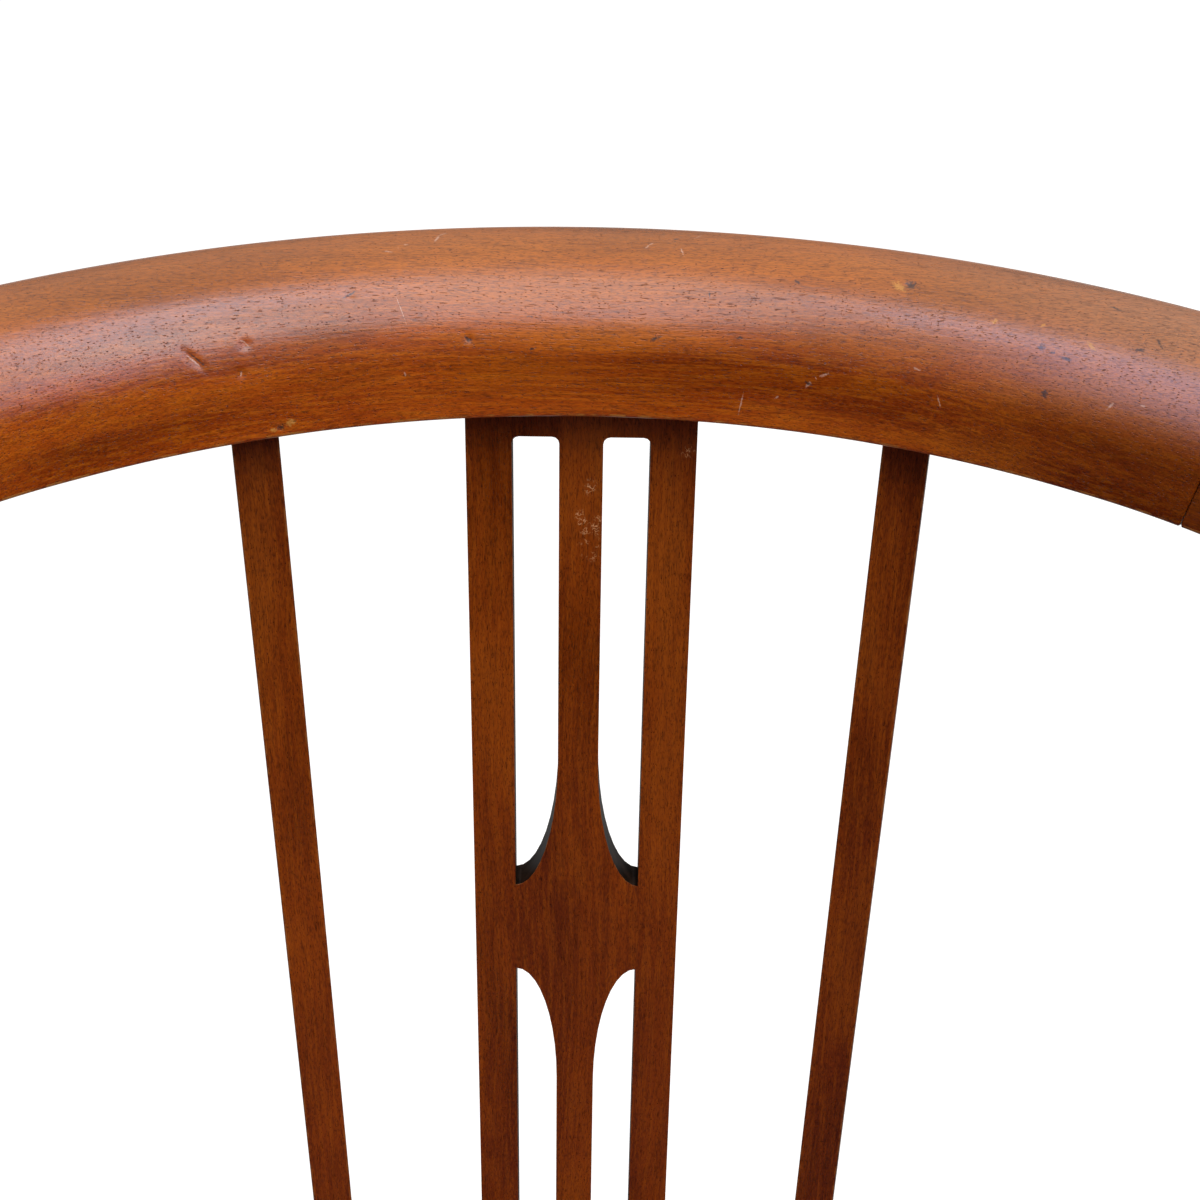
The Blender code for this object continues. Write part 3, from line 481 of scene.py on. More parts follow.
# Horseshoe rail: a half-round section swept along the arc and the arms, in three butted pieces
rail = {
    "innerRadius": 0.215,
    "width": 0.052,
    "height": 0.041,
    "arris": 0.0012,
    "arrisSteps": 3,
    "armSplay": radians(4.0),
    "armLength": 0.265,
    "nose": 0.024,
    "noseSteps": 22,
    "noseTip": 0.6,                      # part of a step that stays open at the very tip
    "joint": radians(42.9),
    "jointRake": radians(12.3),          # the joint's top leans towards the arm
    "rakeReach": 0.030,
    "rakeNear": 0.06,
    "jointGap": 0.0003,
    "jointEase": 0.0004,                 # the ends' edges are softened by this much
    "backStep": 0.00076,
    "armStep": 0.002,
    "backSkin": 0.00076,                 # spacing round the section
    "armSkin": 0.0016,
    "undersideSteps": 12,
    "sharp": radians(35.0),
    "flat": 0.98,                        # faces this level belong to the underside, not to its arris
    "backGrainFollow": 0.55,
    "armGrainFollow": 1.0,
}
railRadius = rail["innerRadius"] + rail["width"] / 2
railArcEnd = pi / 2 - rail["armSplay"]
armTipDepth = rail["armLength"] * sin(railArcEnd) - railRadius * cos(railArcEnd)
railCentre = Vector((0.0, (armTipDepth - railRadius - rail["width"] / 2) / 2, 0.0))
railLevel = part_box("back_rail")[0].z + rail["height"] / 2
shoulderStation = railArcEnd + (rail["armLength"] - rail["nose"]) / railRadius


def planPoint(station, radius, level=0.0):
    # A station is an angle round the back and, past the arc, a length along the arm over the radius
    turn = max(-railArcEnd, min(railArcEnd, station))
    along = (abs(station) - abs(turn)) * railRadius
    side = 1.0 if station > 0 else -1.0
    outward = Vector((sin(turn), cos(turn), 0.0))
    forward = Vector((outward.y, -outward.x, 0.0)) * side
    return railCentre + outward * radius + forward * along + Vector((0.0, 0.0, level))


def railPoint(station):
    return planPoint(station, railRadius, railLevel)


def railSection(skin):
    half, low = rail["width"] / 2, -rail["height"] / 2
    foot = Vector((half - rail["arris"], low + rail["arris"]))
    points = []
    for i in range(rail["arrisSteps"] + 1):
        angle = pi / 2 * i / rail["arrisSteps"] - pi / 2
        points.append(foot + Vector((cos(angle), sin(angle))) * rail["arris"])
    crown = rail["height"] / 2 - half
    rise = crown - points[-1].y
    count = ceil(rise / skin)
    points += [Vector((half, crown - rise * (1 - i / count))) for i in range(1, count)]
    count = ceil(pi / 2 * half / skin)
    for i in range(count):
        angle = pi / 2 * i / count
        points.append(Vector((half * cos(angle), crown + half * sin(angle))))
    mirror = [Vector((-p.x, p.y)) for p in reversed(points)]
    top = [Vector((0.0, crown + half))]
    steps = rail["undersideSteps"]
    under = [Vector((foot.x * (2 * i / steps - 1), low)) for i in range(1, steps)]
    # Upside down, because the sweep turns it over
    return [Vector((p.x, -p.y)) for p in reversed(points + top + mirror + under)]


def lineMesh(name, points, closed=False, tapers=None):
    mesh = bpy.data.meshes.new(name)
    count = len(points)
    edges = [(i, i + 1) for i in range(count - 1)] + ([(count - 1, 0)] if closed else [])
    mesh.from_pydata([(*p, 0.0) if len(p) == 2 else tuple(p) for p in points], edges, [])
    if tapers:
        carry(mesh, "taper", tapers)
    return mesh


def sweepTree():
    tree, ids, given = startTree("sweep_section", {
        "Section": "NodeSocketObject", "Finish": "NodeSocketMaterial"})
    spine = addNode(tree, "GeometryNodeMeshToCurve", named={"Mesh": given["Geometry"]})
    level = addNode(tree, "GeometryNodeSetCurveNormal", named={"Curve": spine}, mode="Z_UP")
    section = addNode(tree, "GeometryNodeObjectInfo", named={"Object": given["Section"]}, out="Geometry")
    outline = addNode(tree, "GeometryNodeMeshToCurve", named={"Mesh": section})
    taper = addNode(tree, "GeometryNodeInputNamedAttribute", named={"Name": "taper"}, data_type="FLOAT")
    swept = addNode(tree, "GeometryNodeCurveToMesh", named={
        "Curve": level, "Profile Curve": outline, "Scale": taper, "Fill Caps": True})
    smooth = addNode(tree, "GeometryNodeSetShadeSmooth", named={"Geometry": swept})
    endTree(tree, smooth, given["Finish"])
    return tree, ids


def sweep(name, outline, points, tapers, finish, sharp):
    section = addObject(name + "_section", lineMesh(name + "_section", outline, closed=True))
    section.hide_render = True
    mesh = runTree(*sectionSweep, lineMesh(name, points, tapers=tapers), {
        "Section": section, "Finish": finish})
    bpy.data.objects.remove(section)
    mesh.name = name
    mesh.set_sharp_from_angle(angle=sharp)
    return mesh


def spread(start, end, step):
    count = max(1, ceil(abs(end - start) / step))
    return [start + (end - start) * i / count for i in range(count + 1)]


def railSpine(stations, noseSide=0):
    # The rail's line and its tapers: softened at the butt joints, rounded off at an arm's nose
    ease = rail["jointEase"] / railRadius
    soft = 1 - 2 * rail["jointEase"] / rail["width"]
    inset = [stations[0], stations[0] + ease * (1 if stations[-1] > stations[0] else -1)]
    run = inset + stations[1:]
    tapers = [soft] + [1.0] * (len(run) - 1)
    points = [railPoint(s) for s in run]
    if noseSide:
        for i in range(1, rail["noseSteps"] + 1):
            angle = pi / 2 * i / (rail["noseSteps"] + rail["noseTip"])
            station = shoulderStation + rail["nose"] * sin(angle) / railRadius
            points.append(railPoint(noseSide * station))
            tapers.append(cos(angle))
    else:
        points.insert(-1, railPoint(stations[-1] - ease))
        tapers[-1:] = [1.0, soft]
    return points, tapers


def sweepRail(name, stations, skin, finish, arrisFinish, noseSide=0):
    mesh = sweep(name, railSection(skin), *railSpine(stations, noseSide), finish, rail["sharp"])
    mesh.materials.append(arrisFinish)
    underside = railLevel - rail["height"] / 2
    for face in mesh.polygons:
        if len(face.vertices) == 4 and face.center.z < underside + rail["arris"]:
            face.material_index = 1 if abs(face.normal.z) < rail["flat"] else 0
    return mesh


def rakeEnd(mesh, side):
    # Leans a piece's end over to the joint's rake, fading out along the rail
    spots = vertexPlaces(mesh)
    middle = np.array(railPoint(side * rail["joint"]))
    forward = np.array((cos(rail["joint"]), -side * sin(rail["joint"]), 0.0)) * side
    away = np.abs((spots - middle) @ forward)
    near = np.linalg.norm(spots - middle, axis=1) < rail["rakeNear"]
    near = near * np.clip(1 - away / rail["rakeReach"], 0.0, 1.0)
    shift = np.tan(rail["jointRake"]) * (spots[:, 2] - railLevel) * near
    mesh.vertices.foreach_set("co", (spots + shift[:, None] * forward).ravel())


# Old knocks and scratches on the back piece: start and end pixel in the photograph, and width in mm
bareSpots = {
    "chipRight": ((284, 424), (297, 421), 2.6),
    "chipLeft": ((268, 430), (278, 430), 1.4),
    "knockSide": ((893, 281), (905, 292), 2.6),
    "crossDown": ((1086, 341), (1097, 351), 1.3),
    "crossUp": ((1089, 352), (1096, 341), 1.3),
    "endHigh": ((992, 325), (998, 318), 1.3),
    "endMiddle": ((1040, 327), (1046, 324), 0.9),
}
scuffs = {
    "topLeftHook": ((434, 243), (440, 235), 0.90),
    "topLeftTail": ((440, 235), (447, 233), 0.70),
    "topLeftFleck": ((402, 244), (408, 245), 0.80),
    "topLeftDash": ((384, 251), (393, 252), 0.60),
    "topRightFleck": ((645, 249), (649, 245), 0.60),
    "topRightTail": ((649, 245), (654, 243), 0.45),
    "topRightDash": ((680, 247), (684, 256), 0.55),
    "rimScratch": ((694, 239), (703, 235), 0.35),
    "shoulderScratch": ((394, 292), (407, 326), 0.30),
    "lowScratch": ((744, 390), (738, 416), 0.50),
    "rightFaceFleck": ((774, 399), (779, 396), 0.50),
    "rightFaceSmear": ((805, 388), (812, 381), 1.20),
    "rightFaceTail": ((819, 377), (829, 373), 0.80),
    "rightGroove": ((912, 367), (921, 371), 0.70),
    "rightLowFleck": ((937, 395), (941, 408), 0.45),
    "endGroove": ((1106, 410), (1115, 402), 0.70),
    "endFleck": ((1139, 405), (1147, 407), 0.50),
    "faceFleck": ((404, 372), (406, 377), 0.55),
    # Painted highlights along the lit rims of the gouge and the dents
    "gougePaintedHighlight": ((182, 351), (203, 369), 0.55),
    "dentPaintedHighlight": ((239, 340), (247, 343), 0.45),
    "dentLowPaintedHighlight": ((245, 344), (250, 347), 0.60),
    "shortGroove": ((242, 370), (241, 378), 0.45),
}
bruises = {
    "leftKnock": ((343, 298), (357, 290), 0.80),
    "facePitLeft": ((464, 336), (472, 342), 1.50),
    "facePitRight": ((527, 350), (535, 348), 0.90),
    "bandPit": ((526, 316), (534, 317), 0.70),
    "facePatch": ((648, 342), (662, 336), 1.40),
    "faceSpot": ((735, 339), (744, 337), 0.90),
    "topGrey": ((671, 241), (680, 238), 1.00),
    "topGreyRight": ((754, 237), (768, 238), 0.90),
    "bandSpot": ((793, 280), (801, 284), 1.10),
    "rightKnock": ((905, 281), (917, 288), 3.50),
    "endKnock": ((1036, 348), (1047, 347), 2.20),
    "endDash": ((1059, 357), (1075, 361), 1.20),
    "endFaceSpot": ((1039, 393), (1050, 394), 2.40),
    "seamDash": ((1132, 350), (1146, 350), 1.40),
    "topSmear": ((1108, 305), (1124, 312), 1.10),
    "seamSmear": ((1156, 338), (1164, 350), 1.00),
    "chip": ((276, 428), (286, 428), 1.60),
    "bandStroke": ((709, 291), (710, 300), 0.50),
    # Painted shade along the gouge's darker side
    "gougePaintedShade": ((186, 350), (207, 368), 0.60),
    "smearShade": ((804, 381), (812, 386), 1.00),
}
# Large soft tones: start and end pixel, width in mm, and how golden (above 0) or dark (below 0)
softTones = {
    "leftTopGolden": ((30, 285), (200, 262), 8.0, 0.4),
    "leftBandDark": ((35, 333), (80, 326), 3.0, -0.35),
    # Painted shade along the left end's lower arris
    "leftEdgePaintedShade": ((5, 474), (150, 432), 5.0, -0.50),
    "leftFaceDull": ((110, 425), (270, 398), 9.0, -0.20),
    "leftFaceDim": ((290, 386), (410, 376), 8.0, -0.30),
    "leftLowDull": ((40, 416), (130, 399), 6.0, -0.20),
    "rightFaceWarm": ((830, 384), (920, 391), 6.0, 0.35),
    "redCloud": ((290, 340), (390, 331), 7.0, -0.45),
    "centreGolden": ((430, 378), (600, 374), 14.0, 0.35),
    "underBandGolden": ((500, 334), (720, 338), 8.0, 0.70),
    "rightGolden": ((800, 338), (960, 354), 8.0, 0.40),
    "rightStreak": ((875, 372), (960, 386), 3.0, -0.25),
    "rightLowStreak": ((780, 410), (930, 412), 5.0, -0.20),
    "topCentrePale": ((560, 237), (720, 238), 8.0, 0.5),
    "topRightPale": ((820, 255), (1080, 296), 12.0, 0.35),
}
dents = {
    "gouge": ((182, 350), (204, 369), 1.8),
    "dentHigh": ((241, 346), (250, 344), 2.0),
    "dentLow": ((237, 375), (245, 373), 2.0),
    "pitLeft": ((465, 336), (472, 342), 1.6),
    "knockLeft": ((346, 295), (356, 293), 1.6),
    "knockRight": ((904, 286), (918, 283), 2.2),
    "chip": ((274, 427), (288, 429), 1.8),
}
strokes = {"reach": 0.0030, "dentDepth": 0.00045, "dentReach": 4.0}


def strokeFields(mesh, marks):
    # For each mark: across and along distance of every vertex, in half widths and half lengths
    spots = vertexPlaces(mesh)
    hits = seenOn(mesh, [pixel for mark in marks.values() for pixel in mark[:2]])
    for mark, (start, facing), (end, _) in zip(marks.values(), hits[::2], hits[1::2]):
        along = end - start
        across = facing.cross(along).normalized()
        away = spots - np.array((start + end) / 2)
        half, halfWidth = along.length / 2, mark[2] / millimetres / 2
        yield away, half, away @ np.array(across) / halfWidth, away @ np.array(along.normalized()) / half


def addStrokes(mesh, label, marks):
    field = np.zeros((len(mesh.vertices), 3))
    nearest = np.full(len(field), np.inf)
    for away, half, across, along in strokeFields(mesh, marks):
        gap = np.linalg.norm(away, axis=1) - half
        near = gap < nearest
        field[near] = np.stack((across, along, gap < strokes["reach"]), axis=1)[near]
        nearest[near] = gap[near]
    carry(mesh, label, field)


def addTones(mesh, marks):
    tone = np.zeros(len(mesh.vertices))
    for (*_, amount), (*_, across, along) in zip(marks.values(), strokeFields(mesh, marks)):
        tone += amount * np.exp(-across ** 2 - along ** 2)
    carry(mesh, "tone", np.clip(tone, -1.0, 1.0))


def alongRail(spots):
    # Distance along the rail's line and out from its middle, for places given from the arc's centre
    side = np.where(spots[:, 0] > 0, 1.0, -1.0)
    forward = np.stack((side * cos(railArcEnd), np.full(len(side), -sin(railArcEnd))), axis=1)
    past = np.maximum(0.0, (spots[:, :2] * forward).sum(axis=1))     # how far along the straight arm
    bent = spots[:, :2] - past[:, None] * forward
    return railRadius * np.arctan2(bent[:, 0], bent[:, 1]) + side * past, np.linalg.norm(bent, axis=1)


def addGrain(mesh, follow):
    # Places along and across the grain: cut straight along X at follow 0, bent with the rail at 1
    spots = vertexPlaces(mesh) - np.array(railCentre)
    along, out = alongRail(spots)
    place = np.stack((along, out - railRadius, spots[:, 2]), axis=1) * follow
    place += (spots - np.array((0.0, railRadius, 0.0))) * (1 - follow)
    carry(mesh, "grainPlace", place)


def dented(mesh, marks):
    normals = np.array([v.normal for v in mesh.vertices])
    depth = np.zeros(len(normals))
    for away, half, across, along in strokeFields(mesh, marks):
        close = np.linalg.norm(away, axis=1) < strokes["dentReach"] * half
        depth += np.where(close, np.exp(-across ** 2 - along ** 2), 0.0)
    spots = vertexPlaces(mesh) - strokes["dentDepth"] * depth[:, None] * normals
    mesh.vertices.foreach_set("co", spots.ravel())


def addPaintedShadeAndSheen(mesh, near, far, least, most):
    # Painted shade and sheen: a share that rises along the rail from one station to another; the finish
    # darkens the side faces by it and greys the top with it
    spots = vertexPlaces(mesh)
    turn = np.arctan2(spots[:, 0] - railCentre.x, spots[:, 1] - railCentre.y)
    share = np.clip((turn - near) / (far - near), 0.0, 1.0)
    carry(mesh, "shade", least + (most - least) * smoothStep(share))


# Where the painted shade and sheen rise along the rail, and how strong they are on the back piece and the
# right arm
railPaintedShadeAndSheen = {
    "start": radians(14.0),
    "end": radians(42.0),
    "back": 0.42,
    "arm": 0.50,
    "armEnd": radians(80.0),
}
sectionSweep = sweepTree()
jointStation = rail["joint"] - rail["jointGap"] / 2 / railRadius
backStations = spread(-jointStation, jointStation, rail["backStep"] / railRadius)
backRailMesh = sweepRail("back_rail_polished", backStations, rail["backSkin"], *woods["rail"])
for side in (-1, 1):
    rakeEnd(backRailMesh, side)
for label, marks in (("bare", bareSpots), ("scuff", scuffs), ("bruise", bruises)):
    addStrokes(backRailMesh, label, marks)
dented(backRailMesh, dents)
addPaintedShadeAndSheen(backRailMesh, railPaintedShadeAndSheen["start"], railPaintedShadeAndSheen["end"], 0.0, railPaintedShadeAndSheen["back"])
addTones(backRailMesh, softTones)
addGrain(backRailMesh, rail["backGrainFollow"])
addPiece("back_rail_polished", backRailMesh, "frame", ["back_rail"])
jointStation = rail["joint"] + rail["jointGap"] / 2 / railRadius
for side, word in ((-1, "left"), (1, "right")):
    run = [side * s for s in spread(jointStation, shoulderStation, rail["armStep"] / railRadius)]
    name = f"arm_{word}_polished"
    mesh = sweepRail(name, run, rail["armSkin"], *woods["arm"], noseSide=side)
    rakeEnd(mesh, side)
    addGrain(mesh, rail["armGrainFollow"])
    if side > 0:
        addPaintedShadeAndSheen(mesh, railPaintedShadeAndSheen["end"], railPaintedShadeAndSheen["armEnd"], railPaintedShadeAndSheen["arm"], 0.0)
    addPiece(name, mesh, "frame", [f"arm_{word}"])
print("rail swept:", len(backRailMesh.polygons), "faces on the back piece")


# Straight pieces: copies of the solids with their arrises eased
ease = {
    "upright": 0.0006,
    "leg": 0.0005,
    "rail": 0.0010,
    "segments": 2,
    "sharp": radians(20.0),
    "level": radians(0.5),               # faces this nearly in one plane become one
    "merge": 1e-5,
    "weight": 100,
    "mortises": (-0.081, 0.0, 0.081),    # X of the three mortises in the back seat rail
    "slotFacing": 0.3,
    "slotClear": 0.002,
}


def slotFaces(bm):
    # Faces inside a splat's slots: across its two broad faces, and clear of its outer edges
    broad = max(bm.faces, key=lambda face: face.calc_area()).normal
    across = broad.cross(Vector((0.0, 0.0, 1.0))).normalized()
    reach = [v.co.dot(across) for v in bm.verts]
    low, high = min(reach) + ease["slotClear"], max(reach) - ease["slotClear"]
    for face in bm.faces:
        place = face.calc_center_median().dot(across)
        if abs(face.normal.dot(broad)) < ease["slotFacing"] and low < place < high:
            yield face


def easedCopy(node, name, finishes, width, cuts):
    bm = bmesh.new()
    bm.from_mesh(cadNodes[node].data)
    bmesh.ops.remove_doubles(bm, verts=bm.verts, dist=ease["merge"])
    for place in cuts:                               # no face may reach round a mortise
        halves = bmesh.ops.bisect_plane(
            bm, geom=bm.verts[:] + bm.edges[:] + bm.faces[:], dist=ease["merge"],
            plane_co=(place, 0.0, 0.0), plane_no=(1.0, 0.0, 0.0))
        for edge in halves["geom_cut"]:
            if isinstance(edge, bmesh.types.BMEdge):
                edge.seam = True
    bmesh.ops.dissolve_limit(
        bm, angle_limit=ease["level"], verts=bm.verts, edges=bm.edges, delimit={"SEAM"})
    for face in bm.faces:
        face.material_index = 0
    if len(finishes) > 2:
        for face in slotFaces(bm):
            face.material_index = 2
    bmesh.ops.triangulate(bm, faces=[face for face in bm.faces if len(face.verts) > 4])
    sharp = [e for e in bm.edges if e.is_manifold and e.is_convex and e.calc_face_angle() > ease["sharp"]]
    bmesh.ops.bevel(
        bm, geom=sharp, offset=width, offset_type="OFFSET", segments=ease["segments"], profile=0.5,
        affect="EDGES", clamp_overlap=True, material=1)
    bm.normal_update()
    folded = [face for face in bm.faces if sum(face.normal.dot(v.normal) for v in face.verts) < 0]
    bmesh.ops.reverse_faces(bm, faces=folded)        # slivers that the easing has turned over
    mesh = closeMesh(bm, name)
    mesh.shade_smooth()
    for finish in finishes:
        mesh.materials.append(finish)
    return mesh


def addEased(node, finishes, width, body="frame", cuts=()):
    name = node + "_polished"
    piece = addPiece(name, easedCopy(node, name, finishes, width, cuts), body, [node])
    piece.modifiers.new("facing", "WEIGHTED_NORMAL").weight = ease["weight"]


for node in ("back_splat", "side_splat_left", "side_splat_right"):
    addEased(node, (*woods["upright"], slotWall), ease["upright"])
for node in ("back_spindle_left", "back_spindle_right"):
    addEased(node, woods["upright"], ease["upright"])
for side in ("left", "right"):
    for end in ("front", "rear"):
        addEased(f"{end}_leg_{side}", woods["upright"], ease["leg"])
    addEased(f"seat_rail_{side}", woods["side_rail"], ease["rail"])
    addEased(f"stretcher_{side}", woods["side_rail"], ease["rail"])
for node in ("seat_rail_front", "stretcher_cross"):
    addEased(node, woods["cross_rail"], ease["rail"])
addEased("seat_rail_back", woods["cross_rail"], ease["rail"], cuts=ease["mortises"])
print("uprights, legs and rails eased")


# Beech, planed and left bare: pale, even and pinkish, with short dark flecks along the grain
beechLook = {
    "fleck": (3.0, 0.5, 0.5),            # along and across the grain, mm
    "fleckSpan": (0.12, 0.3, 0.7, 0.0),
    "band": ((140.0, 9.0, 9.0), 4.0),
    "pale": "#C9A37A",
    "deep": "#B58A5F",
    "fleckTone": "#8A5F3C",
    "roughness": 0.62,
    "specular": 0.35,
    "bumpDepth": 0.0002,
    "bump": 0.5,
}


def beech(name, grain):
    look = beechLook
    finish, tree, shader = startFinish(name)
    wood = addNode(tree, "Mapping", inMillimetres(tree), named={"Rotation": grainTurns[grain]})
    band = woodNoise(tree, wood, *look["band"])
    cells = addNode(tree, "Mapping", wood, named={"Scale": tuple(1 / size for size in look["fleck"])})
    fleck = addNode(tree, "MapRange", addNode(tree, "TexVoronoi", cells, 1.0), *look["fleckSpan"])
    coats = ((band, look["pale"]), (fleck, look["fleckTone"]))
    fill(tree, shader, {
        "Base Color": painted(tree, linear(look["deep"]), coats),
        "Roughness": look["roughness"], "Specular IOR Level": look["specular"],
        "Normal": addNode(tree, "Bump", named={
            "Height": band, "Distance": look["bumpDepth"], "Strength": look["bump"]})})
    return finish


beechAlong = beech("beech_planed_along", "x")
beechDeep = beech("beech_planed_deep", "y")
for side in ("left", "right"):
    addEased(f"seat_frame_{side}", (beechDeep, beechDeep), ease["rail"], "drop_in_seat")
    addEased(f"corner_block_{side}", (beechAlong, beechAlong), ease["rail"])
for end in ("front", "back"):
    addEased(f"seat_frame_{end}", (beechAlong, beechAlong), ease["rail"], "drop_in_seat")
for side in ("left", "right"):
    for row in ("inner", "outer"):
        cadNodes[f"rail_dowel_{side}_{row}"].material_slots[0].material = beechAlong
print("beech pieces eased")


# Jute webbing, plain woven: thick and thin threads both ways, with painted shade in the gaps between them
# and a pair of darker stripes
webbing = {
    "count": 3,
    "step": 0.004,
    "slope": 0.020,                      # length over which a strap climbs over another
    "edge": 0.0005,
    "sharp": radians(40.0),
    "stripe": (0.0135, 0.0165),          # from the strap's middle
}
juteWeave = {
    "thread": 1.9,                       # drawn a little coarser than the real thread, mm
    "pale": "#A98B63",
    "deep": "#7B6040",
    "depth": 0.0004,
}
weaveLook = {
    "wander": 0.12,                      # the threads' waviness and hair, in turns of the weave
    "wanderReach": (3.0, 3.0, 0.0),
    "hair": 0.9,
    "crossing": 0.7,
    "span": (0.35, 1.1),
    "stripeTone": "#5A3A26",
    "stripeShare": 0.75,
    "roughness": 0.9,
    "specular": 0.2,
    "bump": 0.8,
}


def weave(name, cloth, stripes=None):
    look = weaveLook
    finish, tree, shader = startFinish(name)
    turns = addNode(tree, "VectorMath", inMillimetres(tree), 2 * pi / cloth["thread"], operation="SCALE")
    wander = addNode(tree, "TexNoise", turns, look["wander"], 2.0, out="Color")
    pulled = addNode(tree, "VectorMath", wander, look["wanderReach"], turns, operation="MULTIPLY_ADD")
    axes = [addNode(tree, "SeparateXYZ", pulled, out=axis) for axis in ("X", "Y")]
    waves = [addNode(tree, "Math", axis, operation="SINE") for axis in axes]
    # Painted shade: pale on the threads' crowns, deep in the gaps between them, as high and low as the bump
    over = addNode(tree, "Math", addNode(tree, "Math", *waves, operation="MULTIPLY"), operation="ABSOLUTE")
    hairy = addNode(tree, "TexNoise", turns, look["hair"], 3.0)
    share = addNode(tree, "Math", over, look["crossing"], hairy, operation="MULTIPLY_ADD")
    share = addNode(tree, "MapRange", share, *look["span"])
    coats = [(share, cloth["pale"])]
    if stripes:
        across = addNode(tree, "Attribute", out="Fac", attribute_name="across")
        away = addNode(tree, "Math", across, operation="ABSOLUTE")
        middle, half = (stripes[0] + stripes[1]) / 2, (stripes[1] - stripes[0]) / 2
        dyed = addNode(tree, "Math", away, middle, half, operation="COMPARE")
        dyed = addNode(tree, "Math", dyed, look["stripeShare"], operation="MULTIPLY")
        coats.append((dyed, look["stripeTone"]))
    fill(tree, shader, {
        "Base Color": painted(tree, linear(cloth["deep"]), coats),
        "Roughness": look["roughness"], "Specular IOR Level": look["specular"],
        "Normal": addNode(tree, "Bump", named={
            "Height": share, "Distance": cloth["depth"], "Strength": look["bump"]})})
    return finish


def strapSection(width, thick):
    # A flat strap's section, with its edges eased
    half, tall, soft = width / 2, thick / 2, webbing["edge"]
    side = [(half - soft, -tall), (half, -tall + soft), (half, tall - soft), (half - soft, tall)]
    return [Vector(p) for p in side] + [Vector((-x, y)) for x, y in reversed(side)]


def strapSpine(low, high, along, crossings, levels):
    # The strap's middle line: it climbs over every other strap that it crosses
    across = 1 - along
    middle = (low[across] + high[across]) / 2
    points = []
    for place in spread(low[along], high[along], webbing["step"]):
        climb = 0.0
        for spot, width, over in crossings:
            reach = width / 2 + webbing["slope"]
            away = abs(place - spot)
            if over and away < reach:
                climb = max(climb, min(1.0, (reach - away) / webbing["slope"]))
        point = Vector((0.0, 0.0, levels[0] + (levels[1] - levels[0]) * smoothStep(climb)))
        point[along], point[across] = place, middle
        points.append(point)
    return points, middle


def addWebbing():
    count = webbing["count"]
    jute = weave("jute_webbing_plain_weave", juteWeave, webbing["stripe"])
    boxes = {kind: [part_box(f"webbing_{kind}_{i + 1}") for i in range(count)] for kind in ("long", "cross")}
    levels = [(b[0].z + b[1].z) / 2 for b in (boxes["long"][0], boxes["cross"][0])]
    for kind, other, along in (("long", "cross", 1), ("cross", "long", 0)):
        across = 1 - along
        for i, (low, high) in enumerate(boxes[kind]):
            crossings = []
            for j, (near, far) in enumerate(boxes[other]):
                over = (i + j) % 2 == along
                crossings.append(((near[along] + far[along]) / 2, far[along] - near[along], over))
            points, middle = strapSpine(low, high, along, crossings, levels)
            name = f"webbing_{kind}_{i + 1}_woven"
            section = strapSection(high[across] - low[across], high.z - low.z)
            mesh = sweep(name, section, points, [1.0] * len(points), jute, webbing["sharp"])
            carry(mesh, "across", [v.co[across] - middle for v in mesh.vertices])
            addPiece(name, mesh, "drop_in_seat", [f"webbing_{kind}_{i + 1}"])


addWebbing()
print("webbing woven")


# Drop-in seat: crimson leather over horsehair, drawn down over the frame and turned under it
seat = {
    "rows": 72,
    "crowd": 0.55,                       # how much the rows close up towards the edges
    "backCorner": radians(46.0),
    "outlineStep": 0.01,
    "wall": 0.0016,
    "turnUnder": 0.014,
    "lip": 0.0005,
    "edgeRoll": 0.0020,
    "rollProfile": ((0.0, 1.6), (0.1, 0.6), (0.5, 0.1), (1.4, 0.0)),     # inwards and up, in edge rolls
    "sideSteps": (0.006, 0.012),         # below the shoulder
    "clear": 0.0003,                     # between hessian and stuffing
    "rise": 0.0240,                      # from the frame's top to the shoulder of the leather
    "crown": 0.027,
    "fullness": 2.3,
    "frontFullness": 4.5,
    "swell": 0.006,                      # how far the simulation may move a point
    "pressure": 4.0,
    "stiffness": 12.0,
    "bending": 2.0,
    "frames": 20,
    "fill": 0.9,
    "gatherPitch": 0.021,
    "gatherWander": (1.3, 9.0),
    "gatherDepth": 0.0006,
    "gatherReach": 0.030,
    "gatherFrom": 0.6,                   # share of the rise that stays plain
}
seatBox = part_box("seat_cover")
seatRadius = seatBox[1].y - railCentre.y
seatMiddle = np.array((0.0, (seatBox[0].y + seatBox[1].y) / 2))


def crowded(count, crowd):
    even = np.linspace(0.0, 1.0, count + 1)
    return even + crowd * (0.5 - 0.5 * np.cos(pi * even) - even)


def runLengths(path):
    return np.concatenate(([0.0], np.cumsum(np.linalg.norm(np.diff(path, axis=0), axis=1))))


def evenly(points, shares):
    path = np.array([p[:2] for p in points])
    lengths = runLengths(path)
    return np.stack([np.interp(shares * lengths[-1], lengths, path[:, k]) for k in range(2)], axis=1)


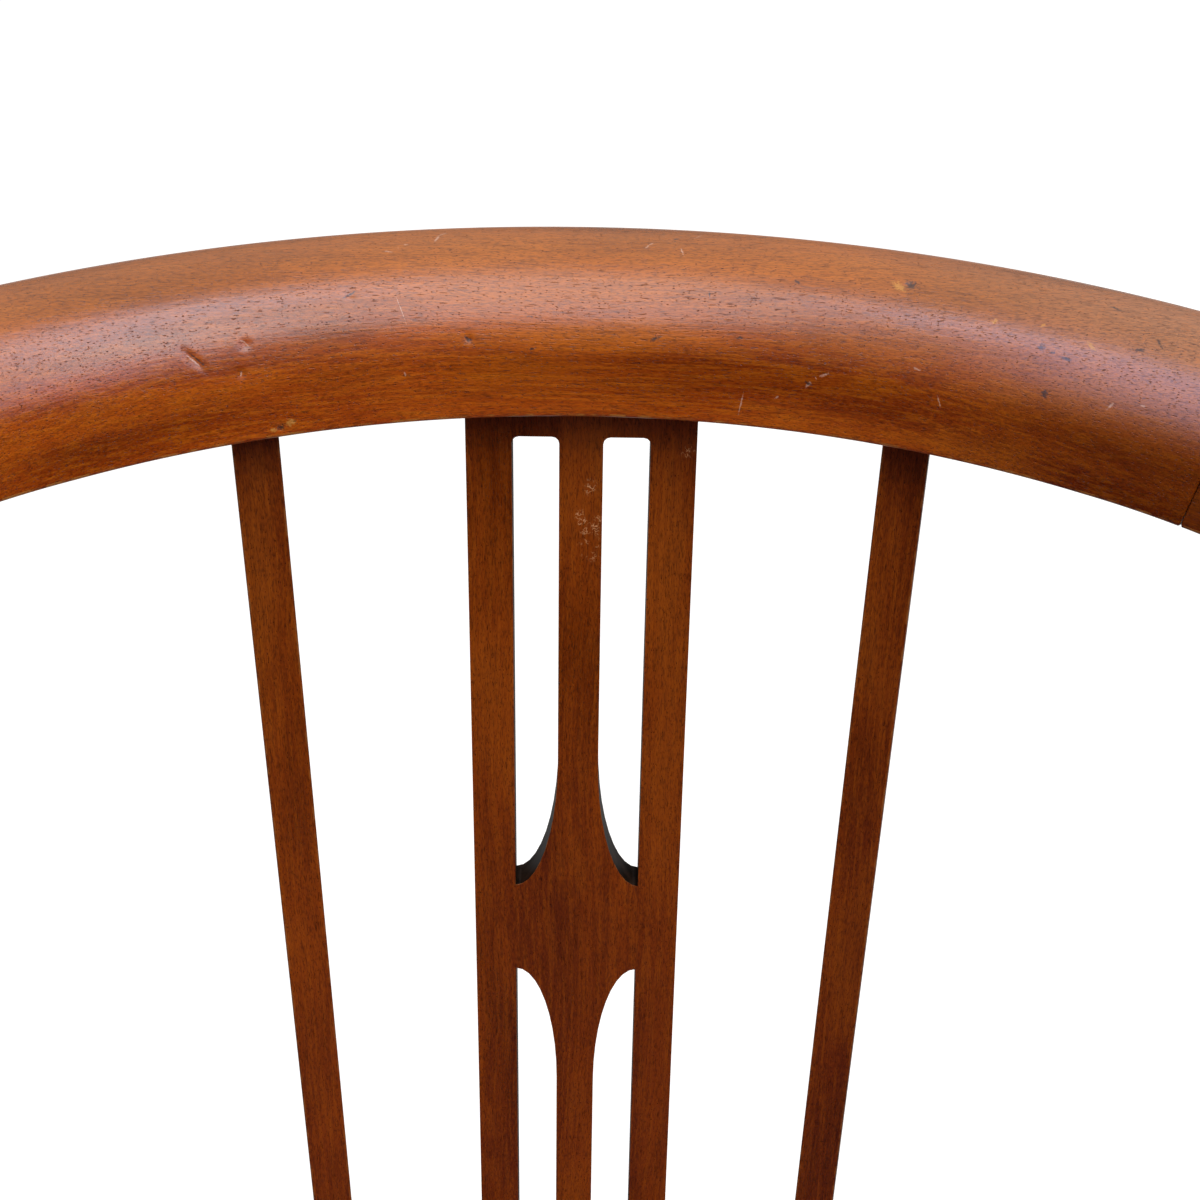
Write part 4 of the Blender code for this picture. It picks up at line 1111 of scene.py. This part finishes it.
def seatGrid(inset, rows, crowd):
    # A grid of points filling the seat's outline, between its front, sides and back
    radius = seatRadius - inset
    along = railCentre.y + radius * cos(railArcEnd) - seatBox[0].y - inset
    front = railArcEnd + along / sin(railArcEnd) / railRadius
    shares = crowded(rows, crowd)
    runs = {"front": [planPoint(-front, radius), planPoint(front, radius)]}
    for name, start, end in (
            ("back", -seat["backCorner"], seat["backCorner"]),
            ("left", -front, -seat["backCorner"]), ("right", front, seat["backCorner"])):
        runs[name] = [planPoint(s, radius) for s in spread(start, end, seat["outlineStep"])]
    edge = {name: evenly(run, shares) for name, run in runs.items()}
    u, v = shares[:, None, None], shares[None, :, None]
    grid = (1 - v) * edge["front"][:, None] + v * edge["back"][:, None]
    grid = grid + (1 - u) * edge["left"][None] + u * edge["right"][None]
    grid -= (1 - u) * (1 - v) * edge["front"][0] + u * (1 - v) * edge["front"][-1]
    grid -= (1 - u) * v * edge["back"][0] + u * v * edge["back"][-1]
    return grid


def rimLoop(rows):
    # Grid places round the edge, front first, against the clock seen from below
    loop = [(i, 0) for i in range(rows)] + [(rows, j) for j in range(rows)]
    return loop + [(i, rows) for i in range(rows, 0, -1)] + [(0, j) for j in range(rows, 0, -1)]


def gridFaces(bm, sheet):
    rows = len(sheet) - 1
    for i in range(rows):
        for j in range(rows):
            bm.faces.new((sheet[i][j], sheet[i + 1][j], sheet[i + 1][j + 1], sheet[i][j + 1]))


def fullness(grid):
    # How full the leather stands: 1 in the middle, 0 at the edges, rounded over at the front corners
    power = seat["fullness"]
    spots = grid.reshape(-1, 2) - np.array(railCentre)[:2]
    sides = 1 - np.clip(alongRail(spots)[1] / seatRadius, 0.0, 1.0) ** power
    ahead = np.clip(spots[:, 1] / (seatBox[0].y - railCentre.y), 0.0, 1.0)
    front = 1 - ahead ** seat["frontFullness"]
    return ((sides * front) ** (1 / power)).reshape(grid.shape[:2])


def cushionMesh():
    rows, low = seat["rows"], seatBox[0].z
    grid = seatGrid(0.0, rows, seat["crowd"])
    loop = rimLoop(rows)
    rim = np.array([grid[place] for place in loop])
    shoulder = low + seat["rise"]
    lift = shoulder + seat["crown"] * fullness(grid)
    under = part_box("seat_hessian")[1].z + seat["clear"]
    roll, wall, turned, lip = (seat[size] for size in ("edgeRoll", "wall", "turnUnder", "lip"))
    rings = [(0.0, shoulder - step) for step in seat["sideSteps"]]
    rings += [(inwards * roll, low + up * roll) for inwards, up in seat["rollProfile"]]
    rings += [
        (turned / 2, low), (turned - lip, low), (turned, low + wall / 2), (turned - lip, low + wall),
        (2 * wall, low + wall), (wall, low + 2 * wall), (wall, under)]
    bm = bmesh.new()
    top = [[bm.verts.new((*grid[i, j], lift[i, j])) for j in range(rows + 1)] for i in range(rows + 1)]
    reach = np.linalg.norm(rim - seatMiddle, axis=1)
    loops = [[top[i][j] for i, j in loop]]
    for inset, level in rings:
        spots = seatMiddle + (rim - seatMiddle) * (1 - inset / reach)[:, None]
        loops.append([bm.verts.new((*spot, level)) for spot in spots])
    base = [[None] * (rows + 1) for _ in range(rows + 1)]
    for (i, j), vert in zip(loop, loops[-1]):
        base[i][j] = vert
    for i in range(1, rows):
        for j in range(1, rows):
            base[i][j] = bm.verts.new((*grid[i, j], under))
    gridFaces(bm, top)
    gridFaces(bm, base)
    for upper, lower in zip(loops, loops[1:]):
        for k in range(len(loop)):
            following = (k + 1) % len(loop)
            bm.faces.new((upper[k], lower[k], lower[following], upper[following]))
    bmesh.ops.recalc_face_normals(bm, faces=bm.faces)
    bm.verts.index_update()
    loose = [top[i][j].index for i in range(1, rows) for j in range(1, rows)]
    return closeMesh(bm, "seat_cushion"), loose, rim


def swollen(mesh, loose):
    # Cloth under pressure fills the leather out; no point moves more than the cap
    start = vertexPlaces(mesh)
    holder = addObject("seat_cushion_cloth", mesh.copy())
    held = holder.vertex_groups.new(name="held")
    held.add(sorted(set(range(len(start))) - set(loose)), 1.0, "REPLACE")
    cloth = holder.modifiers.new("cloth", "CLOTH")
    cloth.settings.vertex_group_mass = "held"
    cloth.settings.use_pressure = True
    cloth.settings.uniform_pressure_force = seat["pressure"]
    cloth.settings.effector_weights.gravity = 0.0
    cloth.settings.tension_stiffness = cloth.settings.compression_stiffness = seat["stiffness"]
    cloth.settings.bending_stiffness = seat["bending"]
    cloth.point_cache.frame_start, cloth.point_cache.frame_end = 1, seat["frames"]
    for step in range(1, seat["frames"] + 1):
        scene.frame_set(step)
    moved = vertexPlaces(asMesh(holder)) - start
    scene.frame_set(1)
    far = np.linalg.norm(moved, axis=1, keepdims=True)
    return start + moved * np.minimum(1.0, seat["swell"] / np.maximum(far, 1e-9))


def gathered(places, rim):
    # Shallow gathers where the leather is drawn down over the edge between its tacks
    flat, edge = places[:, :2] - seatMiddle, rim - seatMiddle
    turns, edgeTurns = (np.arctan2(*spots.T) for spots in (flat, edge))
    order = np.argsort(edgeTurns)
    edgeReach, along = (
        np.interp(turns, edgeTurns[order], values[order], period=2 * pi)
        for values in (np.linalg.norm(edge, axis=1), runLengths(rim)))
    out = np.linalg.norm(flat, axis=1)
    share = np.clip(out / edgeReach, 0.0, 1.0)
    inside = out / np.maximum(share, 1e-6) * (1 - share)             # distance in from the edge
    reach, pace = seat["gatherWander"]
    wave = np.sin(2 * pi * along / seat["gatherPitch"] + reach * np.sin(pace * along / seat["gatherPitch"]))
    fade = np.clip(1 - inside / seat["gatherReach"], 0.0, 1.0) ** 2
    plain = seat["gatherFrom"] * seat["rise"]
    upper = np.clip((places[:, 2] - seatBox[0].z - plain) / (seat["rise"] - plain), 0.0, 1.0)
    lowered = places.copy()
    lowered[:, 2] -= seat["gatherDepth"] * (0.5 + 0.5 * wave) * fade * upper
    return lowered


# Crimson seat leather, drum dyed: fine pebbled grain, satin, rubbed paler on the crown
leatherLook = {
    "pebble": 1.1,                       # drawn a little coarser than real hide, mm
    "pebbleEdge": 0.25,
    "tone": 60.0,
    "toneSpan": (0.3, 0.7),
    "crease": 38.0,
    "creaseBend": 1.6,
    "creaseWidth": 0.03,
    "creaseDepth": 0.8,
    "base": "#7C1A1C",
    "deep": "#5A1013",
    "rubbed": "#983030",
    "rubSpan": (0.85, 1.0, 0.0, 0.35),
    "roughness": (0.34, 0.48),
    "bumpDepth": 0.00015,
    "bump": 0.6,
}


def crimsonLeather():
    look = leatherLook
    finish, tree, shader = startFinish("crimson_leather_pebbled")
    hide = inMillimetres(tree)
    pebbles = addNode(tree, "TexVoronoi", hide, 1 / look["pebble"], feature="DISTANCE_TO_EDGE")
    tone = addNode(tree, "TexNoise", hide, 1 / look["tone"], 4.0)
    creases = addNode(tree, "TexNoise", hide, 1 / look["crease"], 5.0, named={
        "Distortion": look["creaseBend"]})
    fold = addNode(tree, "Math", creases, 0.5, operation="SUBTRACT")
    fold = addNode(tree, "Math", fold, operation="ABSOLUTE")
    fold = addNode(tree, "MapRange", fold, 0.0, look["creaseWidth"])
    facing = addNode(tree, "SeparateXYZ", addNode(tree, "TexCoord", out="Normal"), out="Z")
    coats = (
        (addNode(tree, "MapRange", tone, *look["toneSpan"]), look["base"]),
        (addNode(tree, "MapRange", facing, *look["rubSpan"]), look["rubbed"]))
    grain = addNode(tree, "MapRange", pebbles, 0.0, look["pebbleEdge"])
    height = addNode(tree, "Math", fold, look["creaseDepth"], grain, operation="MULTIPLY_ADD")
    fill(tree, shader, {
        "Base Color": painted(tree, linear(look["deep"]), coats),
        "Roughness": addNode(tree, "MapRange", tone, *look["toneSpan"], *look["roughness"]),
        "Normal": addNode(tree, "Bump", named={
            "Height": height, "Distance": look["bumpDepth"], "Strength": look["bump"]})})
    return finish


def addCushion():
    mesh, loose, rim = cushionMesh()
    places = swollen(mesh, loose)
    mesh.vertices.foreach_set("co", gathered(places, rim).ravel())
    mesh.shade_smooth()
    mesh.materials.append(crimsonLeather())
    replaced = ["seat_cover", "seat_stuffing"]
    piece = addPiece("seat_cushion", mesh, "drop_in_seat", replaced)
    smooth = piece.modifiers.new("smooth", "SUBSURF")
    smooth.levels = smooth.render_levels = 1


# Hessian, open plain weave: coarse brown threads, with painted shade in the dark gaps between them
hessianSheet = {"inset": 0.008, "thickness": 0.0008, "sag": 0.00008, "rows": 24}
hessianWeave = {"thread": 2.2, "pale": "#A88B5E", "deep": "#5E4930", "depth": 0.0005}


def addHessian():
    rows = hessianSheet["rows"]
    low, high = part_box("seat_hessian")
    level = high.z - hessianSheet["thickness"] / 2
    grid = seatGrid(hessianSheet["inset"], rows, 0.0)
    dip = [hessianSheet["sag"] ** 0.5 * sin(pi * i / rows) for i in range(rows + 1)]
    bm = bmesh.new()
    steps = range(rows + 1)
    gridFaces(bm, [[bm.verts.new((*grid[i, j], level - dip[i] * dip[j])) for j in steps] for i in steps])
    area = sum(face.calc_area() for face in bm.faces)
    mesh = closeMesh(bm, "seat_hessian_sheet")
    mesh.materials.append(weave("hessian_open_weave", hessianWeave))
    piece = addPiece("seat_hessian_sheet", mesh, "drop_in_seat", ["seat_hessian"])
    thick = piece.modifiers.new("thickness", "SOLIDIFY")
    thick.thickness = hessianSheet["thickness"]
    thick.offset = 0.0


addHessian()
addCushion()
print("seat stuffed and covered")


# Screws and tacks: steel, dulled and blued by age, with small dark spots
fixings = {
    "sides": 20,
    "headDepth": 0.003,
    "slotWidth": 0.0011,
    "slotDepth": 0.0010,
    "slotLength": 3.0,                   # in head radii, so that it runs out at both sides
    "rim": 1e-4,
    "sharp": radians(30.0),
    "tackSides": 12,
    "tackRadius": 0.0034,
    "tackFlat": 0.55,
    "tackProud": 0.0002,
    "tackPitch": 0.024,
    "tackInset": 0.0085,
    "seed": 7,
}
screwSteel = {"bright": "#8E8B86", "dull": "#4A4541", "roughness": (0.57, 0.32), "spot": 1.1111}
tackSteel = {"bright": "#5A5C62", "dull": "#2C2C30", "roughness": (0.60, 0.35), "spot": 1.1111}


def agedSteel(name, look):
    finish, tree, shader = startFinish(name)
    spots = addNode(tree, "TexNoise", inMillimetres(tree), 1 / look["spot"], 4.0)
    fill(tree, shader, {
        "Base Color": painted(tree, linear(look["dull"]), [(spots, look["bright"])]),
        "Roughness": addNode(tree, "MapRange", spots, 0.0, 1.0, *look["roughness"]),
        "Metallic": 1.0})
    return finish


def pointMesh(name, places, aims):
    mesh = bpy.data.meshes.new(name)
    mesh.from_pydata([tuple(place) for place in places], [], [])
    carry(mesh, "aim", aims)
    return mesh


def onPoints(tree, given, shape):
    # Sets a shape on each point, facing its aim and turned at random about it
    aim = addNode(tree, "GeometryNodeInputNamedAttribute", named={"Name": "aim"}, data_type="FLOAT_VECTOR")
    facing = addNode(tree, "FunctionNodeAlignRotationToVector", named={"Vector": aim}, axis="Z")
    chance = addNode(tree, "FunctionNodeRandomValue", named={2: 0.0, 3: 2 * pi, "Seed": given["Seed"]})
    spin = addNode(tree, "FunctionNodeAxisAngleToRotation", named={"Axis": (0.0, 0.0, 1.0), "Angle": chance})
    turned = addNode(tree, "FunctionNodeRotateRotation", named={
        "Rotation": facing, "Rotate By": spin}, rotation_space="LOCAL")
    points = addNode(tree, "GeometryNodeMeshToPoints", named={"Mesh": given["Geometry"]})
    placed = addNode(tree, "GeometryNodeInstanceOnPoints", named={
        "Points": points, "Instance": shape, "Rotation": turned})
    endTree(tree, placed, given["Finish"])


def screwTree():
    tree, ids, given = startTree("countersunk_screws", {
        "Head Radius": "NodeSocketFloat", "Head Depth": "NodeSocketFloat", "Shank Radius": "NodeSocketFloat",
        "Shank Length": "NodeSocketFloat", "Slot Size": "NodeSocketVector", "Seed": "NodeSocketInt",
        "Finish": "NodeSocketMaterial"})
    head = addNode(tree, "GeometryNodeMeshCone", named={
        "Vertices": fixings["sides"], "Radius Top": given["Head Radius"],
        "Radius Bottom": given["Shank Radius"], "Depth": given["Head Depth"]})
    shank = addNode(tree, "GeometryNodeMeshCylinder", named={
        "Vertices": fixings["sides"], "Radius": given["Shank Radius"], "Depth": given["Shank Length"]})
    headDrop = addNode(tree, "Math", given["Head Depth"], -1.0, operation="MULTIPLY")
    shankDrop = addNode(tree, "Math", given["Shank Length"], -0.5, headDrop, operation="MULTIPLY_ADD")
    sunk = [
        addNode(tree, "GeometryNodeTransform", named={
            "Geometry": shape, "Translation": addNode(tree, "CombineXYZ", named={"Z": drop})})
        for shape, drop in ((head, headDrop), (shank, shankDrop))]
    slot = addNode(tree, "GeometryNodeMeshCube", named={"Size": given["Slot Size"]})
    cut = addNode(tree, "GeometryNodeMeshBoolean", named={
        "Mesh 1": sunk[0], "Mesh 2": slot}, operation="DIFFERENCE")
    whole = addNode(tree, "GeometryNodeJoinGeometry", named={"Geometry": cut})
    tree.links.new(sunk[1], whole.node.inputs["Geometry"])
    onPoints(tree, given, whole)
    return tree, ids


def tackTree():
    tree, ids, given = startTree("tack_heads", {
        "Radius": "NodeSocketFloat", "Depth": "NodeSocketFloat", "Seed": "NodeSocketInt",
        "Finish": "NodeSocketMaterial"})
    flat = addNode(tree, "Math", given["Radius"], fixings["tackFlat"], operation="MULTIPLY")
    head = addNode(tree, "GeometryNodeMeshCone", named={
        "Vertices": fixings["tackSides"], "Radius Top": flat, "Radius Bottom": given["Radius"],
        "Depth": given["Depth"]})
    onPoints(tree, given, head)
    return tree, ids


def addScrews():
    places, aims, sizes = [], [], []
    nodes = [f"block_screw_{side}_{end}" for side in ("left", "right") for end in ("front", "side")]
    for node in nodes:
        spots = vertexPlaces(cadNodes[node].data)
        middle = spots.mean(axis=0)
        axis = np.linalg.svd(spots - middle)[2][0]
        along = (spots - middle) @ axis
        wide = np.linalg.norm(spots - middle - np.outer(along, axis), axis=1)
        if along[wide.argmax()] < 0:                 # the axis points to the head
            axis, along = -axis, -along
        rim = along > along.max() - fixings["rim"]
        places.append(spots[rim].mean(axis=0))
        aims.append(axis)
        sizes.append((wide[rim].max(), wide.min(), np.ptp(along)))
    head, shank, length = (float(size) for size in np.array(sizes).mean(axis=0))
    depth = fixings["headDepth"]
    mesh = runTree(*screwTree(), pointMesh("block_screws", places, aims), {
        "Head Radius": head, "Head Depth": depth, "Shank Radius": shank, "Shank Length": length - depth,
        "Slot Size": (fixings["slotLength"] * head, fixings["slotWidth"], fixings["slotDepth"] * 2),
        "Seed": fixings["seed"], "Finish": agedSteel("screw_steel_dulled", screwSteel)})
    mesh.set_sharp_from_angle(angle=fixings["sharp"])
    addPiece("block_screws_slotted", mesh, "frame", nodes)


def addTacks():
    grid = seatGrid(fixings["tackInset"], seat["rows"], 0.0)
    rim = np.array([grid[place] for place in rimLoop(seat["rows"])])
    rim = np.concatenate((rim, rim[:1]))
    count = round(runLengths(rim)[-1] / fixings["tackPitch"])
    spots = evenly(rim, np.arange(count) / count)
    places = [(*spot, seatBox[0].z + fixings["tackProud"]) for spot in spots]
    mesh = runTree(*tackTree(), pointMesh("cover_tacks", places, [(0.0, 0.0, -1.0)] * count), {
        "Radius": fixings["tackRadius"], "Depth": 2 * fixings["tackProud"], "Seed": fixings["seed"],
        "Finish": agedSteel("tack_steel_blued", tackSteel)})
    addPiece("cover_tacks", mesh, "drop_in_seat")


addScrews()
addTacks()
print("screws and tacks set")


# Studio: a pale floor that turns white away from the chair, and soft light from above the camera
studio = {
    "white": "#FFFFFF",
    "ambient": 0.14,
    "horizon": 0.03,                     # the polish sees a room that is dim near the horizon
    "horizonReach": (0.0, 0.8),
    "floorSize": 16.0,
    "floorSquares": 8,
    "floorColour": "#A6A29D",
    "floorRoughness": 0.9,
    "floorGlow": (0.64, 0.95),
    "floorGloss": (0.004, 0.60),         # the polish sees a dim floor before the chair, a pale one behind it
    "floorGlossReach": (0.15, 0.60),
    "floorSeenInPolish": "#120A06",
    "glowReach": (0.25, 0.60),
}
railMiddle = (0.0, 0.16, 0.78)
lamps = {
    "ceiling_panel": {
        "place": (0.30, -1.12, 2.78), "aim": (0.1, -0.10, 0.78), "size": (2.4, 2.5), "power": 64.0,
        "tint": "#EFF6FF"},
    "side_panel": {
        "place": (1.35, -1.05, 2.30), "aim": (0.0, 0.10, 0.78), "size": (1.0, 1.0), "power": 11.0,
        "tint": "#EFF6FF"},
    "rear_fill": {
        "place": (0.0, 1.30, 2.60), "aim": railMiddle, "size": (2.4, 1.2), "power": 14.0,
        "tint": "#FFF2E6", "shine": False},
    "sheen_left": {
        "place": (-1.35, -0.25, 2.65), "size": (1.3, 1.6), "power": 30.0, "tint": "#9CBAFF"},
    "sheen_left_low": {
        "place": (-2.10, -1.15, 2.10), "size": (1.2, 1.0), "power": 11.0, "tint": "#9CBAFF"},
    "sheen_right": {
        "place": (0.95, -0.05, 2.70), "size": (1.2, 1.4), "power": 19.0, "tint": "#C8D6FF"},
    "sheen_right_low": {
        "place": (2.10, -1.35, 1.80), "size": (1.4, 1.2), "power": 18.0, "tint": "#C8D6FF"},
    "sheen_front": {
        "place": (-0.05, -2.05, 2.60), "size": (1.4, 1.3), "power": 9.0, "tint": "#C8D6FF"},
}


def surroundShare(tree, glossShare):
    # How much of the surround a ray sees: the camera and clear things all of it, the polish a share
    rays = tree.nodes.new("ShaderNodeLightPath").outputs
    seen = addNode(
        tree, "Math", rays["Is Glossy Ray"], glossShare, rays["Is Transmission Ray"],
        operation="MULTIPLY_ADD")
    return addNode(tree, "Math", seen, rays["Is Camera Ray"], operation="MAXIMUM")


def addWorld():
    scene.world = bpy.data.worlds.new("studio_surround")
    scene.world.use_nodes = True
    tree = scene.world.node_tree
    up = addNode(tree, "SeparateXYZ", addNode(tree, "TexCoord", out="Generated"), out="Z")
    high = addNode(tree, "MapRange", up, *studio["horizonReach"], studio["horizon"], 1.0)
    level = addNode(tree, "MapRange", surroundShare(tree, high), 0.0, 1.0, studio["ambient"], 1.0)
    fill(tree, tree.nodes["Background"], {"Color": linear(studio["white"]), "Strength": level})


def addFloor():
    finish, tree, shader = startFinish("studio_floor")
    polish = addNode(tree, "LightPath", out="Is Glossy Ray")
    place = addNode(tree, "TexCoord", out="Object")
    away = addNode(tree, "VectorMath", place, operation="LENGTH")
    glow = addNode(
        tree, "MapRange", away, *studio["glowReach"], *studio["floorGlow"], interpolation_type="SMOOTHSTEP")
    behind = addNode(tree, "SeparateXYZ", place, out="Y")
    gloss = addNode(tree, "MapRange", behind, *studio["floorGlossReach"], *studio["floorGloss"])
    fill(tree, shader, {
        "Base Color": painted(tree, linear(studio["floorColour"]), [(polish, studio["floorSeenInPolish"])]),
        "Roughness": studio["floorRoughness"], "Specular IOR Level": 0.0,
        "Emission Color": linear(studio["white"]),
        "Emission Strength": addNode(tree, "Math", glow, surroundShare(tree, gloss), operation="MULTIPLY")})
    bm = bmesh.new()
    squares = studio["floorSquares"]
    bmesh.ops.create_grid(bm, x_segments=squares, y_segments=squares, size=studio["floorSize"] / 2)
    mesh = closeMesh(bm, "studio_floor")
    mesh.materials.append(finish)
    addObject("studio_floor", mesh)


def addLamp(name, settings):
    data = bpy.data.lights.new(name, "AREA")
    data.shape = "RECTANGLE"
    data.size, data.size_y = settings["size"]
    data.energy = settings["power"]
    data.color = linear(settings["tint"])[:3]
    lamp = addObject(name, data)
    place = Vector(settings["place"])
    lamp.location = place
    aim = Vector(settings.get("aim", railMiddle))
    lamp.rotation_euler = (aim - place).to_track_quat("-Z", "Y").to_euler()
    lamp.visible_camera = False
    lamp.visible_diffuse = "aim" in settings         # the sheen panels show in the polish only
    lamp.visible_glossy = settings.get("shine", True)


addWorld()
addFloor()
for name, settings in lamps.items():
    addLamp(name, settings)
print("studio lit")
